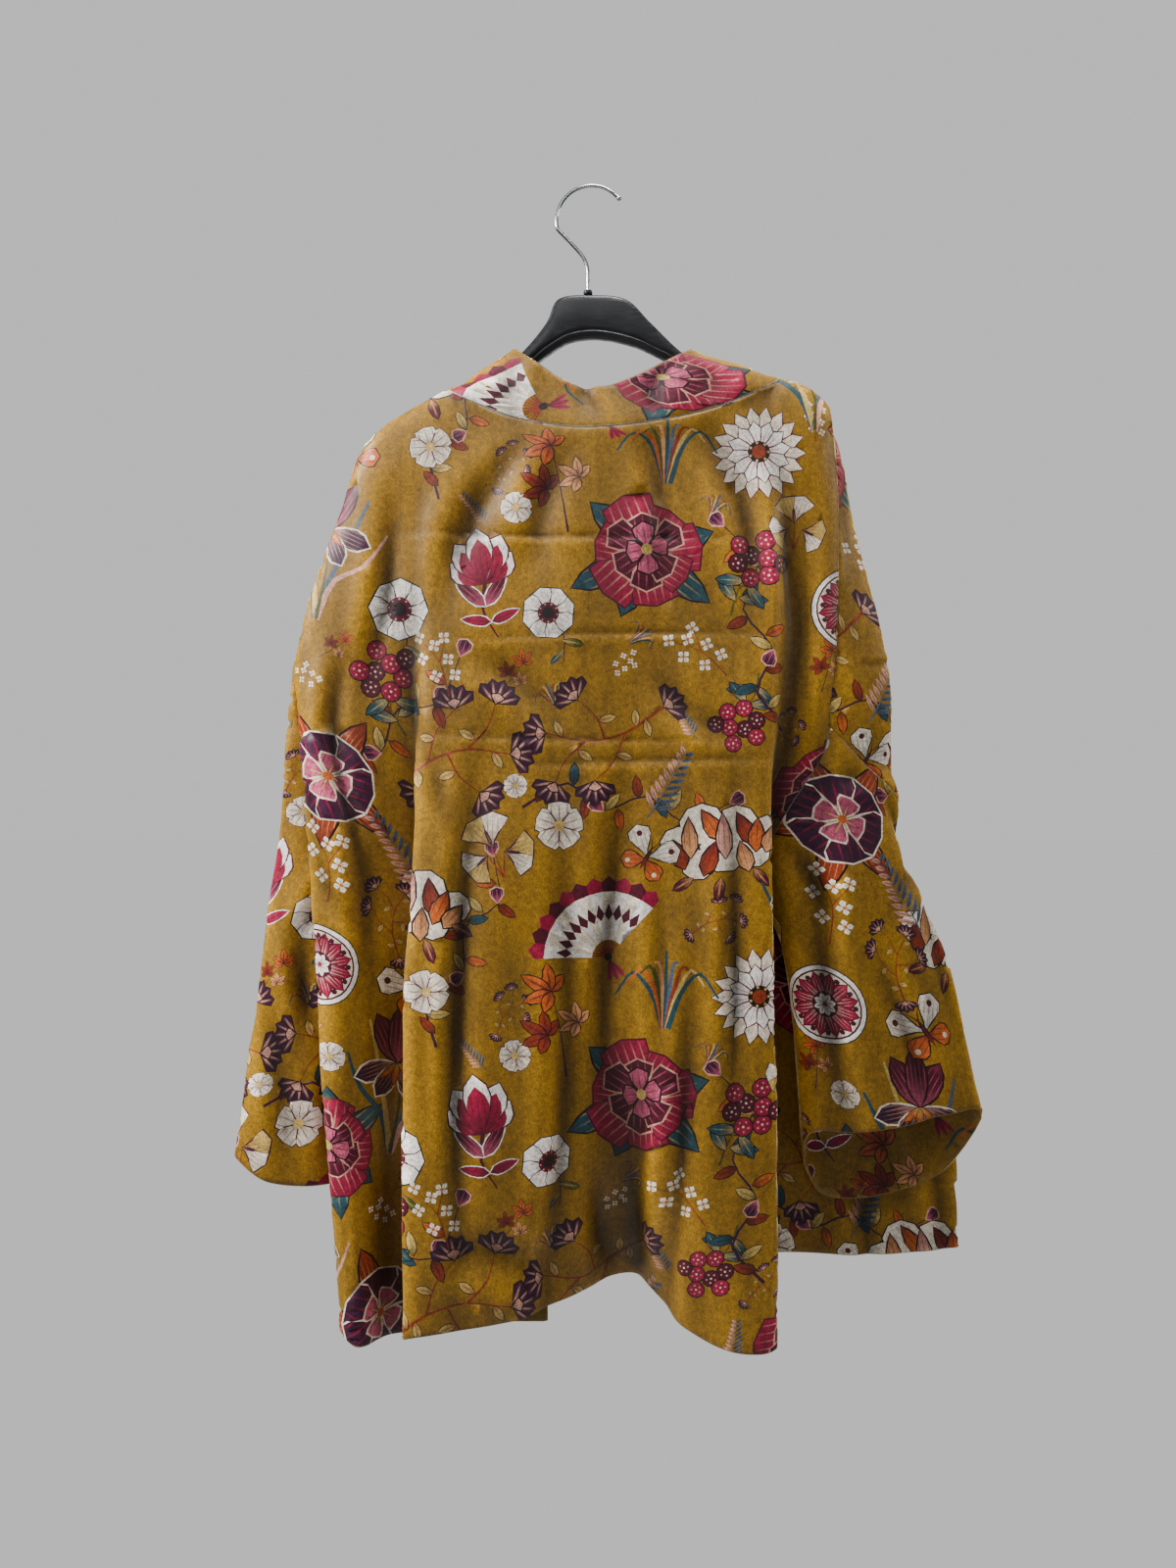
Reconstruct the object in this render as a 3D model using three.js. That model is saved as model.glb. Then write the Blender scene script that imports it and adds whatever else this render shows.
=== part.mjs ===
// Kimono jacket hung by its shoulders on a plastic hanger with a wire hook.
// Units: millimetres. +Z up, X across the jacket, the jacket's back faces -Y.
// Origin: inside top of the hook, where a rail or peg carries it.
//
// Every cloth piece is cut out of one hung surface. The surface is drawn by fold lines: a line runs
// from the shoulder down to the hem, along a crest or a hollow of the cloth, and has a place at each
// level. A smooth curve joins the lines across, and a smooth curve joins the levels down.

import * as THREE from "three";

// ---------------------------------------------------------------- driving dimensions

const CLOTH = 2; // wall of the velvet
const BAND_CLOTH = 3; // the neck band is the cloth folded double
const SEAM = 0.3; // clear width of every seam
const SHARPEST_MITRE = 0.4; // keeps the trimming short where a seam turns sharply
const CORNER_TRIM = 1.6; // a panel's corner, where three pieces meet, is trimmed this much more

const OUTLINE_STEPS = 3; // of the hanger's outline, from one of its points to the next
const HOOK_WIRE = 3.5;
const HOOK_RADIUS = 33.3; // to the middle of the wire
const HOOK_ARC = { start: 39.5, end: 192, steps: 16 }; // degrees from +X, round the peg
const HOOK_STEPS = 36;
const SHANK_X = -3.7;
const HANGER_TOP = -102.6;
const FERRULE_RADIUS = 4.2;
const FERRULE_HEIGHT = 5.5;
const HANGER_DEPTH = 16;
const HANGER_EDGE = 3; // rounding of the moulding
const FOLD_RADIUS = 13; // of the cloth where it hangs over the hanger

// Rows of cells between one level and the next.
const ROWS = { top: 3, shoulder: 4, tip: 10, underarm: 6, cuff: 3 };
const SHOULDER_CELLS = 15; // cells along each shoulder ridge
const FOLD_CELLS = 4; // cells over which the fold over the hanger forms at a ridge's outer end
const NECK_FADE = 6; // how fast that fold fades along the neck
const LEVELS = ["shoulder", "tip", "underarm", "cuff", "hem"];
const SLEEVE_ROWS = 9;
const BAND_CELLS = 3;

// Heights of the levels at the left and right ends of the jacket.
const LEVEL_HEIGHT = {
  shoulder: [-263, -242],
  tip: [-456, -507],
  underarm: [-640, -650],
  cuff: [-915, -890],
};

// ---------------------------------------------------------------- fold lines

// x and y hold a line's place at the shoulder, tip, underarm, cuff and hem levels, and hem its height
// at the hem. cells is the number of cells from this line to the next.

const BACK_LEFT = [
  { line: "tuck", cells: 2, x: [-219, -277, -225, -192, -186], y: [-6, -6, -10, -4, -4], hem: -1058 },
  { line: "side roll", cells: 2, x: [-213, -270, -262, -240, -233], y: [-12, -13, -17, -19, -16], hem: -1063 },
  { line: "side swell", cells: 3, x: [-198, -238, -232, -222, -216], y: [-15, -19, -27, -33, -31], hem: -1076 },
  { line: "hollow", cells: 3, x: [-180, -192, -186, -192, -192], y: [-17, -16, -10, -4, -2], hem: -1079 },
  { line: "lap turn", cells: 3, x: [-160, -165, -150, -150, -152], y: [-17, -14, -5, -2, 0], hem: -1076 },
];

const BACK_MIDDLE = [
  { line: "left lap", cells: 3, x: [-138, -156, -163, -172, -172], y: [-17, -24, -33, -39, -38], hem: -1066 },
  { line: "left of middle", cells: 3, x: [-112, -124, -125, -131, -134], y: [-17, -28, -39, -45, -43], hem: -1058 },
  { line: "middle", cells: 3, x: [-60, -60, -58, -58, -60], y: [-23, -28, -37, -41, -31], hem: -1048 },
  { line: "hem trough", cells: 3, x: [0, 14, 22, 34, 44], y: [-27, -28, -29, -14, 30], hem: -1034 },
  { line: "box left", cells: 3, x: [55, 66, 70, 74, 80], y: [-24, -28, -34, -37, -14], hem: -1062 },
  { line: "box middle", cells: 3, x: [115, 118, 120, 124, 128], y: [-18, -30, -39, -43, -42], hem: -1075 },
];

const BACK_RIGHT = [
  { line: "right lap", cells: 4, x: [176, 163, 164, 168, 167], y: [-17, -29, -35, -36, -37], hem: -1075 },
  { line: "lap turn", cells: 4, x: [187, 174, 154, 152, 150], y: [-16, -15, -14, -12, -10], hem: -1050 },
  { line: "hollow", cells: 4, x: [199, 184, 147, 134, 130], y: [-15, -9, -1, 4, 1], hem: -1024 },
  { line: "fall", cells: 3, x: [214, 204, 149, 131, 126], y: [-12, -13, 7, 11, 8], hem: -1014 },
];

const FRONT_LEFT = [
  { line: "tuck", cells: 3, x: [-219, -274, -190, -184, -180], y: [7, 12, 40, 45, 42], hem: -1066 },
  { line: "side roll", cells: 3, x: [-212, -262, -242, -237, -230], y: [13, 25, 51, 57, 54], hem: -1072 },
  { line: "side", cells: 3, x: [-192, -230, -214, -205, -200], y: [17, 38, 63, 70, 68], hem: -1080 },
  { line: "panel", cells: 3, x: [-165, -180, -165, -158, -155], y: [18, 40, 60, 62, 58], hem: -1088 },
  { line: "front edge", cells: 0, x: [-134, -122, -116, -111, -108], y: [18, 43, 57, 61, 60], hem: -1095 },
];

// The right front's upper part swings round to the back, so its lines have a place between tip and underarm.
const FRONT_RIGHT = [
  { line: "tuck", cells: 3, x: [232, 254, 178, 180, 182], y: [4, -7, 31, 37, 34], mid: [291, 17], hem: -1016 },
  { line: "swing", cells: 3, x: [234, 284, 226, 275, 278], y: [11, 6, 43, 47, 44], mid: [279, 31], hem: -1022 },
  { line: "side roll", cells: 3, x: [227, 274, 268, 355, 361], y: [17, 28, 49, 53, 52], mid: [263, 41], hem: -1018 },
  { line: "panel", cells: 3, x: [208, 230, 238, 302, 300], y: [18, 41, 61, 69, 70], mid: [233, 49], hem: -1024 },
  { line: "front edge", cells: 0, x: [178, 168, 172, 178, 176], y: [18, 47, 61, 69, 70], mid: [170, 53], hem: -1022 },
];

// Seams that two or three pieces share, each from its first named point to its last.
const SEAMS = {
  ridgeLeft: [[-214, 0, -243], [-188, -1, -222], [-137, 0, -192]],
  ridgeRight: [[179, 0, -181], [203, -1, -190], [224, -2, -209]],
  neck: [[-137, 0, -192], [-127, -12, -199], [-72, -20, -223], [-4, -27, -234], [104, -21, -217], [168, -12, -189], [179, 0, -181]],
  shoulderLeft: [[-224, 0, -263], [-241, 0, -340], [-282, 0, -456]],
  shoulderRight: [[228, -4, -242], [231, -7, -312], [226, -9, -470], [221, -8, -507]],
  armBackLeft: [[-282, 0, -456], [-268, 3, -510], [-230, 6, -580], [-172, 10, -640]],
  armFrontLeft: [[-282, 0, -456], [-272, 16, -505], [-238, 29, -575], [-172, 10, -640]],
  armBackRight: [[221, -8, -507], [217, -8, -532], [186, -8, -581], [152, 12, -650]],
  armFrontRight: [[221, -8, -507], [258, -5, -545], [292, 8, -583], [252, 33, -628], [152, 12, -650]],
  sideLeft: [[-172, 10, -640], [-142, 14, -915], [-138, 12, -1058]],
  sideRight: [[152, 12, -650], [128, 16, -890], [122, 12, -1010]],
};

// Lines of a sleeve's tube below the armhole, in order round it from the overarm by way of the back.
const SLEEVE_LEFT = [
  { line: "overarm", cells: 3, elbow: [-312, 7, -735], cuff: [-337, 7, -914] },
  { line: "back face", cells: 3, elbow: [-293, -5, -735], cuff: [-304, -8, -933] },
  { line: "back inner", cells: 2, elbow: [-263, -2, -735], cuff: [-262, -6, -938] },
  { line: "behind the body", cells: 2, elbow: [-228, 11, -735], cuff: [-222, 12, -936] },
  { line: "underarm", cells: 3, elbow: [-190, 21, -735], cuff: [-186, 22, -934] },
  { line: "front inner", cells: 3, elbow: [-218, 33, -735], cuff: [-226, 35, -938] },
  { line: "front wave", cells: 2, elbow: [-258, 27, -735], cuff: [-272, 27, -940] },
  { line: "front outer", cells: 2, elbow: [-293, 28, -735], cuff: [-312, 31, -930] },
];

const SLEEVE_RIGHT = [
  { line: "overarm", cells: 3, elbow: [254, -15, -728], cuff: [286, -15, -880] },
  { line: "back face", cells: 4, elbow: [221, -14, -728], cuff: [244, -13, -886] },
  { line: "inner roll", cells: 3, elbow: [190, -4, -728], cuff: [207, -4, -888] },
  { line: "underarm", cells: 3, elbow: [184, 15, -728], cuff: [203, 17, -920] },
  { line: "front inner", cells: 2, elbow: [214, 30, -728], cuff: [226, 33, -960] },
  { line: "front wave", cells: 2, elbow: [262, 25, -728], cuff: [284, 25, -956] },
  { line: "front outer", cells: 1, elbow: [312, 33, -728], cuff: [344, 35, -935] },
  { line: "silhouette", cells: 2, elbow: [339, 13, -728], cuff: [372, 13, -873] },
];

// Free edge of the neck band: down each front at the levels, and round the back of the neck.
const BAND_LEFT = { top: [-72, 0, -154], x: [-68, -60, -53, -48, -45], y: [30, 49, 60, 65, 64] };
const BAND_RIGHT = { top: [93, 0, -154], x: [99, 105, 110, 116, 114], y: [30, 54, 68, 77, 78] };
const BAND_BACK = [[-72, 0, -154], [-64, -14, -163], [-2, -18, -196], [84, -14, -162], [93, 0, -154]];
const BAND_DROP = 2; // the band's free edge ends this much below its seam edge

// ---------------------------------------------------------------- curves

const vector = ([x, y, z]) => new THREE.Vector3(x, y, z);

/** Smooth open curve through points; share runs 0..1 with an equal part for each span. */
function through(points) {
  return new THREE.CatmullRomCurve3(points.map((p) => (p.isVector3 ? p : vector(p))), false, "centripetal");
}

/** Points at count + 1 even steps of a curve's length. */
function evenly(points, count) {
  return through(points).getSpacedPoints(count);
}

const sum = (values) => values.reduce((total, value) => total + value, 0);

/** Rows of a fold line from the shoulder level down to the hem, with the curve's own bend between levels. */
function lineRows(line, share) {
  const height = (level) => THREE.MathUtils.lerp(...LEVEL_HEIGHT[level], share);
  const points = LEVELS.map((level, k) => {
    const z = level === "hem" ? line.hem : height(level);
    return new THREE.Vector3(line.x[k], line.y[k], z);
  });
  const steps = [ROWS.shoulder, ROWS.tip, ROWS.underarm, ROWS.cuff];
  if (line.mid) {
    const middle = new THREE.Vector3(...line.mid, (height("tip") + height("underarm")) / 2);
    points.splice(2, 0, middle);
    steps.splice(1, 1, ROWS.tip / 2, ROWS.tip / 2);
  }
  return sampleSpans(through(points), steps);
}

/** Points on a curve with the given number of steps in each of its spans. */
function sampleSpans(curve, steps) {
  const points = [curve.getPoint(0)];
  steps.forEach((count, span) => {
    for (let step = 1; step <= count; step += 1) {
      points.push(curve.getPoint((span + step / count) / steps.length));
    }
  });
  return points;
}

// ---------------------------------------------------------------- the hung surface

/** Rows of a panel's outer boundary: shoulder seam, armhole and side seam. */
function boundaryRows(shoulder, armhole, side) {
  const upper = evenly(shoulder, ROWS.shoulder);
  const arm = evenly(armhole, ROWS.tip);
  const lower = sampleSpans(through(side), [ROWS.underarm, ROWS.cuff]);
  return [...upper, ...arm.slice(1), ...lower.slice(1)];
}

/** One smooth row of points across the fold lines. */
function rowAcross(points, cells) {
  return sampleSpans(through(points), cells);
}

/**
 * Rows that round the cloth from its top edge over the hanger's arm. side is -1 for the back and 1 for the
 * fronts. The fold fades out where a ridge ends, and along the neck, where the cloth hangs free.
 */
function foldRows(topRow, shoulderRow, side, fullness) {
  const rows = [];
  for (let step = 1; step < ROWS.top; step += 1) {
    const angle = ((Math.PI / 2) * step) / (ROWS.top - 1);
    const free = step / ROWS.top / 2;
    rows.push(topRow.map((top, k) => {
      const folded = new THREE.Vector3(
        THREE.MathUtils.lerp(top.x, shoulderRow[k].x, free / 2),
        side * FOLD_RADIUS * Math.sin(angle),
        top.z - FOLD_RADIUS * (1 - Math.cos(angle)),
      );
      return top.clone().lerp(shoulderRow[k], free).lerp(folded, fullness[k]);
    }));
  }
  return rows;
}

/** Grid of points, one row after the other, from the top edge to the hem. */
function panelGrid(topRow, columns, cells, side, fullness) {
  const rows = columns[0].map((_, row) => rowAcross(columns.map((column) => column[row]), cells));
  return [topRow, ...foldRows(topRow, rows[0], side, fullness), ...rows];
}

/** How far the fold over the hanger is formed at each column of a ridge, from its outer end inwards. */
const RIDGE_FULLNESS = Array.from({ length: SHOULDER_CELLS + 1 }, (_, column) => {
  const left = 1 - Math.min(1, column / FOLD_CELLS);
  return Math.sqrt(1 - left * left);
});

const boundary = {
  backLeft: boundaryRows(SEAMS.shoulderLeft, SEAMS.armBackLeft, SEAMS.sideLeft),
  frontLeft: boundaryRows(SEAMS.shoulderLeft, SEAMS.armFrontLeft, SEAMS.sideLeft),
  backRight: boundaryRows(SEAMS.shoulderRight, SEAMS.armBackRight, SEAMS.sideRight),
  frontRight: boundaryRows(SEAMS.shoulderRight, SEAMS.armFrontRight, SEAMS.sideRight),
};

const ridgeLeft = evenly(SEAMS.ridgeLeft, SHOULDER_CELLS);
const ridgeRight = evenly(SEAMS.ridgeRight, SHOULDER_CELLS);

function backGrid() {
  const lines = [...BACK_LEFT, ...BACK_MIDDLE, ...BACK_RIGHT];
  const columns = lines.map((line, k) => lineRows(line, (k + 1) / (lines.length + 1)));
  const firstCells = SHOULDER_CELLS - sum(BACK_LEFT.map((line) => line.cells));
  const cells = [firstCells, ...lines.map((line) => line.cells)];
  const neckCells = sum(BACK_MIDDLE.map((line) => line.cells));
  const neck = evenly(SEAMS.neck, neckCells);
  const topRow = [...ridgeLeft, ...neck.slice(1), ...ridgeRight.slice(1)];
  const neckFullness = neck.map((_, column) => Math.abs((2 * column) / neckCells - 1) ** NECK_FADE);
  const fullness = [...RIDGE_FULLNESS, ...neckFullness.slice(1, -1), ...[...RIDGE_FULLNESS].reverse()];
  return panelGrid(topRow, [boundary.backLeft, ...columns, boundary.backRight], cells, -1, fullness);
}

/** A front, from its outer boundary to the front edge. */
function frontGrid(lines, outer, ridge, share) {
  const columns = [outer, ...lines.map((line) => lineRows(line, share))];
  const used = sum(lines.map((line) => line.cells));
  const cells = [SHOULDER_CELLS - used, ...lines.slice(0, -1).map((line) => line.cells)];
  return panelGrid(ridge, columns, cells, 1, RIDGE_FULLNESS);
}

/** A sleeve's tube: the armhole's ring, then rings down to the cuff. */
function sleeveGrid(lines, armBack, armFront) {
  const ring = [...evenly(armBack, ROWS.tip), ...evenly(armFront, ROWS.tip).reverse().slice(1, -1)];
  const cells = lines.map((line) => line.cells);
  const around = (level) => {
    const curve = new THREE.CatmullRomCurve3(lines.map((line) => vector(line[level])), true, "centripetal");
    return sampleSpans(curve, cells).slice(0, -1);
  };
  const elbow = around("elbow");
  const cuff = around("cuff");
  const columns = ring.map((start, k) => through([start, elbow[k], cuff[k]]).getPoints(SLEEVE_ROWS));
  return columns[0].map((_, row) => columns.map((column) => column[row]));
}

/** Place of the band's free edge on its way over the hanger, at a row above the shoulder level. */
function overTop(top, shoulder, row) {
  const angle = ((Math.PI / 2) * row) / (ROWS.top - 1);
  const folded = vector(top);
  folded.y = FOLD_RADIUS * Math.sin(angle);
  folded.z -= FOLD_RADIUS * (1 - Math.cos(angle));
  folded.x = THREE.MathUtils.lerp(top[0], shoulder[0], row / ROWS.top / 4);
  return folded;
}

/** The neck band: up the left front edge, round the back of the neck and down the right front edge. */
function bandGrid(frontLeft, back, frontRight) {
  const last = (row) => row[row.length - 1];
  const seamLeft = frontLeft.map(last).reverse();
  const seamRight = frontRight.map(last);
  const seamBack = back[0].slice(SHOULDER_CELLS + 1, -SHOULDER_CELLS - 1);
  const seam = [...seamLeft, ...seamBack, ...seamRight];
  const steps = [ROWS.top, ROWS.shoulder, ROWS.tip, ROWS.underarm, ROWS.cuff];
  const freeFront = (edge, seamRows) => {
    let row = 0;
    const points = steps.map((count, k) => {
      row += count;
      return [edge.x[k], edge.y[k], seamRows[row].z - BAND_DROP];
    });
    const fall = sampleSpans(through([edge.top, ...points]), steps);
    return fall.map((point, k) => (k < ROWS.top ? overTop(edge.top, points[0], k) : point));
  };
  const freeLeft = freeFront(BAND_LEFT, frontLeft.map(last)).reverse();
  const freeRight = freeFront(BAND_RIGHT, seamRight);
  const freeBack = evenly(BAND_BACK, seamBack.length + 1).slice(1, -1);
  const free = [...freeLeft, ...freeBack, ...freeRight];
  return seam.map((start, k) => {
    const row = [];
    for (let cell = 0; cell <= BAND_CELLS; cell += 1) {
      row.push(start.clone().lerp(free[k], cell / BAND_CELLS));
    }
    return row;
  });
}

// ---------------------------------------------------------------- cloth walls

/** A cloth piece on a grid of points: rows run down, columns across, and a tube closes on itself. */
class Piece {
  constructor(name, grid, { wall = CLOTH, tube = false, flip = false, seams = {} }) {
    this.name = name;
    this.grid = grid;
    this.wall = wall;
    this.tube = tube;
    this.flip = flip;
    this.seams = seams; // rows of each edge that are sewn: top, bottom, left, right as (row) => boolean
    this.rows = grid.length;
    this.columns = grid[0].length;
  }

  at(row, column) {
    const wrapped = this.tube ? (column + this.columns) % this.columns : column;
    return this.grid[row][wrapped];
  }

  cellCount() {
    return this.tube ? this.columns : this.columns - 1;
  }

  /** Adds this piece's own unit normal at each point to that point's entry in the shared table. */
  addNormals(table) {
    const own = new Map();
    for (let row = 0; row < this.rows - 1; row += 1) {
      for (let column = 0; column < this.cellCount(); column += 1) {
        const corners = [
          this.at(row, column),
          this.at(row + 1, column),
          this.at(row + 1, column + 1),
          this.at(row, column + 1),
        ];
        const one = corners[2].clone().sub(corners[0]);
        const other = corners[3].clone().sub(corners[1]);
        const normal = one.cross(other);
        if (this.flip) {
          normal.negate();
        }
        corners.forEach((corner) => addTo(own, keyOf(corner), normal));
      }
    }
    own.forEach((normal, key) => addTo(table, key, normal.normalize()));
  }

  /** Sewn edges as lists of [row, column]. */
  sewnEdges() {
    const edges = [];
    if (this.seams.top) {
      const ring = this.grid[0].map((_, column) => [0, column]);
      edges.push(this.tube ? [...ring, ring[0]] : ring);
    }
    if (this.seams.left) {
      edges.push(this.grid.map((_, row) => [row, 0]));
    }
    if (this.seams.right) {
      edges.push(this.grid.map((_, row) => [row, this.columns - 1]));
    }
    return edges;
  }

  /** Grid moved half a seam's width away from the sewn edges. */
  trimmed(normals) {
    const moved = this.grid.map((row) => row.map((point) => point.clone()));
    const lastRow = this.rows - 1;
    const lastColumn = this.columns - 1;
    const move = (row, column, inner, before, after, share = 1) => {
      const point = this.at(row, column);
      const normal = normals.get(keyOf(point));
      const away = (other) => other.clone().sub(point);
      const along = away(after).sub(away(before)).projectOnPlane(normal).normalize();
      const inward = away(inner).projectOnPlane(normal).projectOnPlane(along).normalize();
      const opening = before.equals(point) || after.equals(point) ? Math.PI : away(before).angleTo(away(after));
      const mitre = 1 / Math.max(Math.sin(opening / 2), SHARPEST_MITRE);
      moved[row][column].addScaledVector(inward, (SEAM / 2) * mitre * share);
    };
    if (this.seams.top) {
      for (let column = this.tube ? 0 : 1; column <= (this.tube ? lastColumn : lastColumn - 1); column += 1) {
        move(0, column, this.at(1, column), this.at(0, column - 1), this.at(0, column + 1));
      }
    }
    const sides = [this.seams.left && [0, 1], this.seams.right && [lastColumn, lastColumn - 1]].filter(Boolean);
    sides.forEach(([edge, inner]) => {
      for (let row = this.seams.top ? 1 : 0; row <= lastRow; row += 1) {
        const above = this.at(Math.max(row - 1, 0), edge);
        const below = this.at(Math.min(row + 1, lastRow), edge);
        move(row, edge, this.at(row, inner), above, below);
      }
      if (this.seams.top) {
        move(0, edge, this.at(1, inner), this.at(0, inner), this.at(1, edge), CORNER_TRIM);
      }
    });
    return moved;
  }

  /** Closed wall: the grid offset to both sides, joined round its edges. */
  geometry(normals) {
    const moved = this.trimmed(normals);
    const positions = [];
    [0.5, -0.5].forEach((side) => {
      moved.forEach((row, r) => {
        row.forEach((point, c) => {
          const normal = normals.get(keyOf(this.grid[r][c]));
          const offset = point.clone().addScaledVector(normal, side * this.wall);
          positions.push(offset.x, offset.y, offset.z);
        });
      });
    });
    const layer = this.rows * this.columns;
    const index = [];
    const vertex = (row, column, inner) => row * this.columns + (column % this.columns) + (inner ? layer : 0);
    const quad = (a, b, c, d) => {
      const turned = this.flip ? [a, d, c, b] : [a, b, c, d];
      index.push(turned[0], turned[1], turned[2], turned[0], turned[2], turned[3]);
    };
    const lastRow = this.rows - 1;
    for (let row = 0; row < lastRow; row += 1) {
      for (let column = 0; column < this.cellCount(); column += 1) {
        const face = (inner) => [
          vertex(row, column, inner),
          vertex(row + 1, column, inner),
          vertex(row + 1, column + 1, inner),
          vertex(row, column + 1, inner),
        ];
        const [a, b, c, d] = face(false);
        quad(a, b, c, d);
        const [e, f, g, h] = face(true);
        quad(e, h, g, f);
      }
    }
    const rim = (from, to) => {
      const ring = [vertex(...from, false), vertex(...to, false), vertex(...to, true), vertex(...from, true)];
      const start = this.at(...from);
      const end = this.at(...to);
      if (comesFirst(start, end)) {
        quad(...ring);
      } else {
        quad(ring[1], ring[2], ring[3], ring[0]);
      }
    };
    for (let column = 0; column < this.cellCount(); column += 1) {
      rim([0, column], [0, column + 1]);
      rim([lastRow, column + 1], [lastRow, column]);
    }
    if (!this.tube) {
      for (let row = 0; row < lastRow; row += 1) {
        rim([row + 1, 0], [row, 0]);
        rim([row, this.columns - 1], [row + 1, this.columns - 1]);
      }
    }
    const geometry = new THREE.BufferGeometry();
    geometry.setAttribute("position", new THREE.Float32BufferAttribute(positions, 3));
    geometry.setIndex(index);
    geometry.computeVertexNormals();
    return geometry;
  }
}

// At the underarm the sleeve and the side of the body hang face to face, and the fold between them opens down.
const DOWN = new THREE.Vector3(0, 0, -1);

/**
 * One unit normal for each point, shared by all the pieces that meet there, so that walls end face to face.
 * Where three pieces meet, it is the mean of the normals next to it along the seams.
 */
function sharedNormals(pieces) {
  const normals = new Map();
  const owners = new Map();
  pieces.forEach((piece) => {
    piece.addNormals(normals);
    new Set(piece.grid.flat().map(keyOf)).forEach((key) => owners.set(key, (owners.get(key) ?? 0) + 1));
  });
  normals.forEach((normal) => normal.normalize());
  const junctions = new Map();
  pieces.forEach((piece) => {
    piece.sewnEdges().forEach((edge) => {
      const keys = edge.map(([row, column]) => keyOf(piece.at(row, column)));
      keys.forEach((key, k) => {
        if (owners.get(key) < 3) {
          return;
        }
        const neighbours = [keys[k - 1], keys[k + 1]].filter(Boolean);
        neighbours.forEach((neighbour) => addTo(junctions, key, normals.get(neighbour)));
      });
    });
  });
  junctions.forEach((normal, key) => normals.set(key, normal.normalize()));
  [SEAMS.sideLeft, SEAMS.sideRight].forEach(([underarm]) => normals.set(keyOf(vector(underarm)), DOWN.clone()));
  return normals;
}

function addTo(table, key, value) {
  if (!table.has(key)) {
    table.set(key, new THREE.Vector3());
  }
  table.get(key).add(value);
}

/** Order of two seam points, the same for every piece, so that facing walls split their twisted ends alike. */
const comesFirst = (a, b) => (a.z - b.z || a.x - b.x || a.y - b.y) > 0;

const keyOf = (point) => [point.x, point.y, point.z].map((value) => Math.round(value * 100)).join(" ");

function clothPieces() {
  const back = backGrid();
  const frontLeft = frontGrid(FRONT_LEFT, boundary.frontLeft, ridgeLeft, 0);
  const frontRight = frontGrid(FRONT_RIGHT, boundary.frontRight, [...ridgeRight].reverse(), 1);
  const body = { top: true, left: true, right: true };
  return [
    new Piece("back", back, { seams: body }),
    new Piece("front_left", frontLeft, { flip: true, seams: body }),
    new Piece("front_right", frontRight, { seams: body }),
    new Piece("sleeve_left", sleeveGrid(SLEEVE_LEFT, SEAMS.armBackLeft, SEAMS.armFrontLeft), {
      tube: true,
      seams: { top: true },
    }),
    new Piece("sleeve_right", sleeveGrid(SLEEVE_RIGHT, SEAMS.armBackRight, SEAMS.armFrontRight), {
      tube: true,
      flip: true,
      seams: { top: true },
    }),
    new Piece("neck_band", bandGrid(frontLeft, back, frontRight), {
      wall: BAND_CLOTH,
      seams: { left: true },
    }),
  ];
}

// ---------------------------------------------------------------- hanger

/** Outline of the hanger in the X-Z plane: over the top from left to right and back under the arch. */
function hangerOutline() {
  const top = [[-205, -255], [-186, -235], [-110, -192], [-72, -163], [-43, -129], [-32, -107], [0, -103]];
  const right = [[32, -107], [55, -129], [93, -163], [140, -180], [194, -201], [213, -214]];
  const under = [[214, -224], [206, -231], [160, -214], [78, -167], [40, -149], [5, -142]];
  const left = [[-20, -145], [-42, -158], [-110, -208], [-186, -260], [-199, -265]];
  const corners = [...top, ...right, ...under, ...left].map((point) => new THREE.Vector3(...point, 0));
  const curve = new THREE.CatmullRomCurve3(corners, true, "centripetal");
  return new THREE.Shape(curve.getPoints(corners.length * OUTLINE_STEPS).slice(0, -1));
}

function hangerBody() {
  const geometry = new THREE.ExtrudeGeometry(hangerOutline(), {
    depth: HANGER_DEPTH - 2 * HANGER_EDGE,
    bevelThickness: HANGER_EDGE,
    bevelSize: HANGER_EDGE,
    bevelOffset: -HANGER_EDGE,
    bevelSegments: 2,
    curveSegments: 6,
  });
  geometry.rotateX(Math.PI / 2);
  geometry.translate(0, HANGER_DEPTH / 2 - HANGER_EDGE, 0);
  return geometry;
}

/** Plain ring that the wire passes through on top of the hanger. */
function ferrule() {
  const inner = HOOK_WIRE / 2 + SEAM;
  const profile = [
    [inner, 0],
    [FERRULE_RADIUS, 0],
    [FERRULE_RADIUS, FERRULE_HEIGHT - 1],
    [FERRULE_RADIUS - 1, FERRULE_HEIGHT],
    [inner, FERRULE_HEIGHT],
    [inner, 0],
  ].map((point) => new THREE.Vector2(...point));
  const ring = new THREE.LatheGeometry(profile, 24);
  ring.rotateX(Math.PI / 2);
  ring.translate(SHANK_X, 0, HANGER_TOP + SEAM);
  return ring;
}

/** Middle line of the wire hook: tip, arc over the peg, shank down into the hanger. */
function hookPath() {
  const centre = HOOK_WIRE / 2 - HOOK_RADIUS;
  const points = [];
  const { start, end, steps } = HOOK_ARC;
  for (let step = 0; step <= steps; step += 1) {
    const angle = THREE.MathUtils.degToRad(start + ((end - start) * step) / steps);
    points.push([HOOK_RADIUS * Math.cos(angle), 0, centre + HOOK_RADIUS * Math.sin(angle)]);
  }
  points.push([-20, 0, -52], [-8, 0, -66], [-4.2, 0, -76], [SHANK_X, 0, -88], [SHANK_X, 0, HANGER_TOP + SEAM]);
  return through(points);
}

function hook() {
  const section = new THREE.Shape().absarc(0, 0, HOOK_WIRE / 2, 0, 2 * Math.PI, false);
  return new THREE.ExtrudeGeometry(section, { steps: HOOK_STEPS, curveSegments: 6, extrudePath: hookPath() });
}

// ---------------------------------------------------------------- assembly

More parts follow.
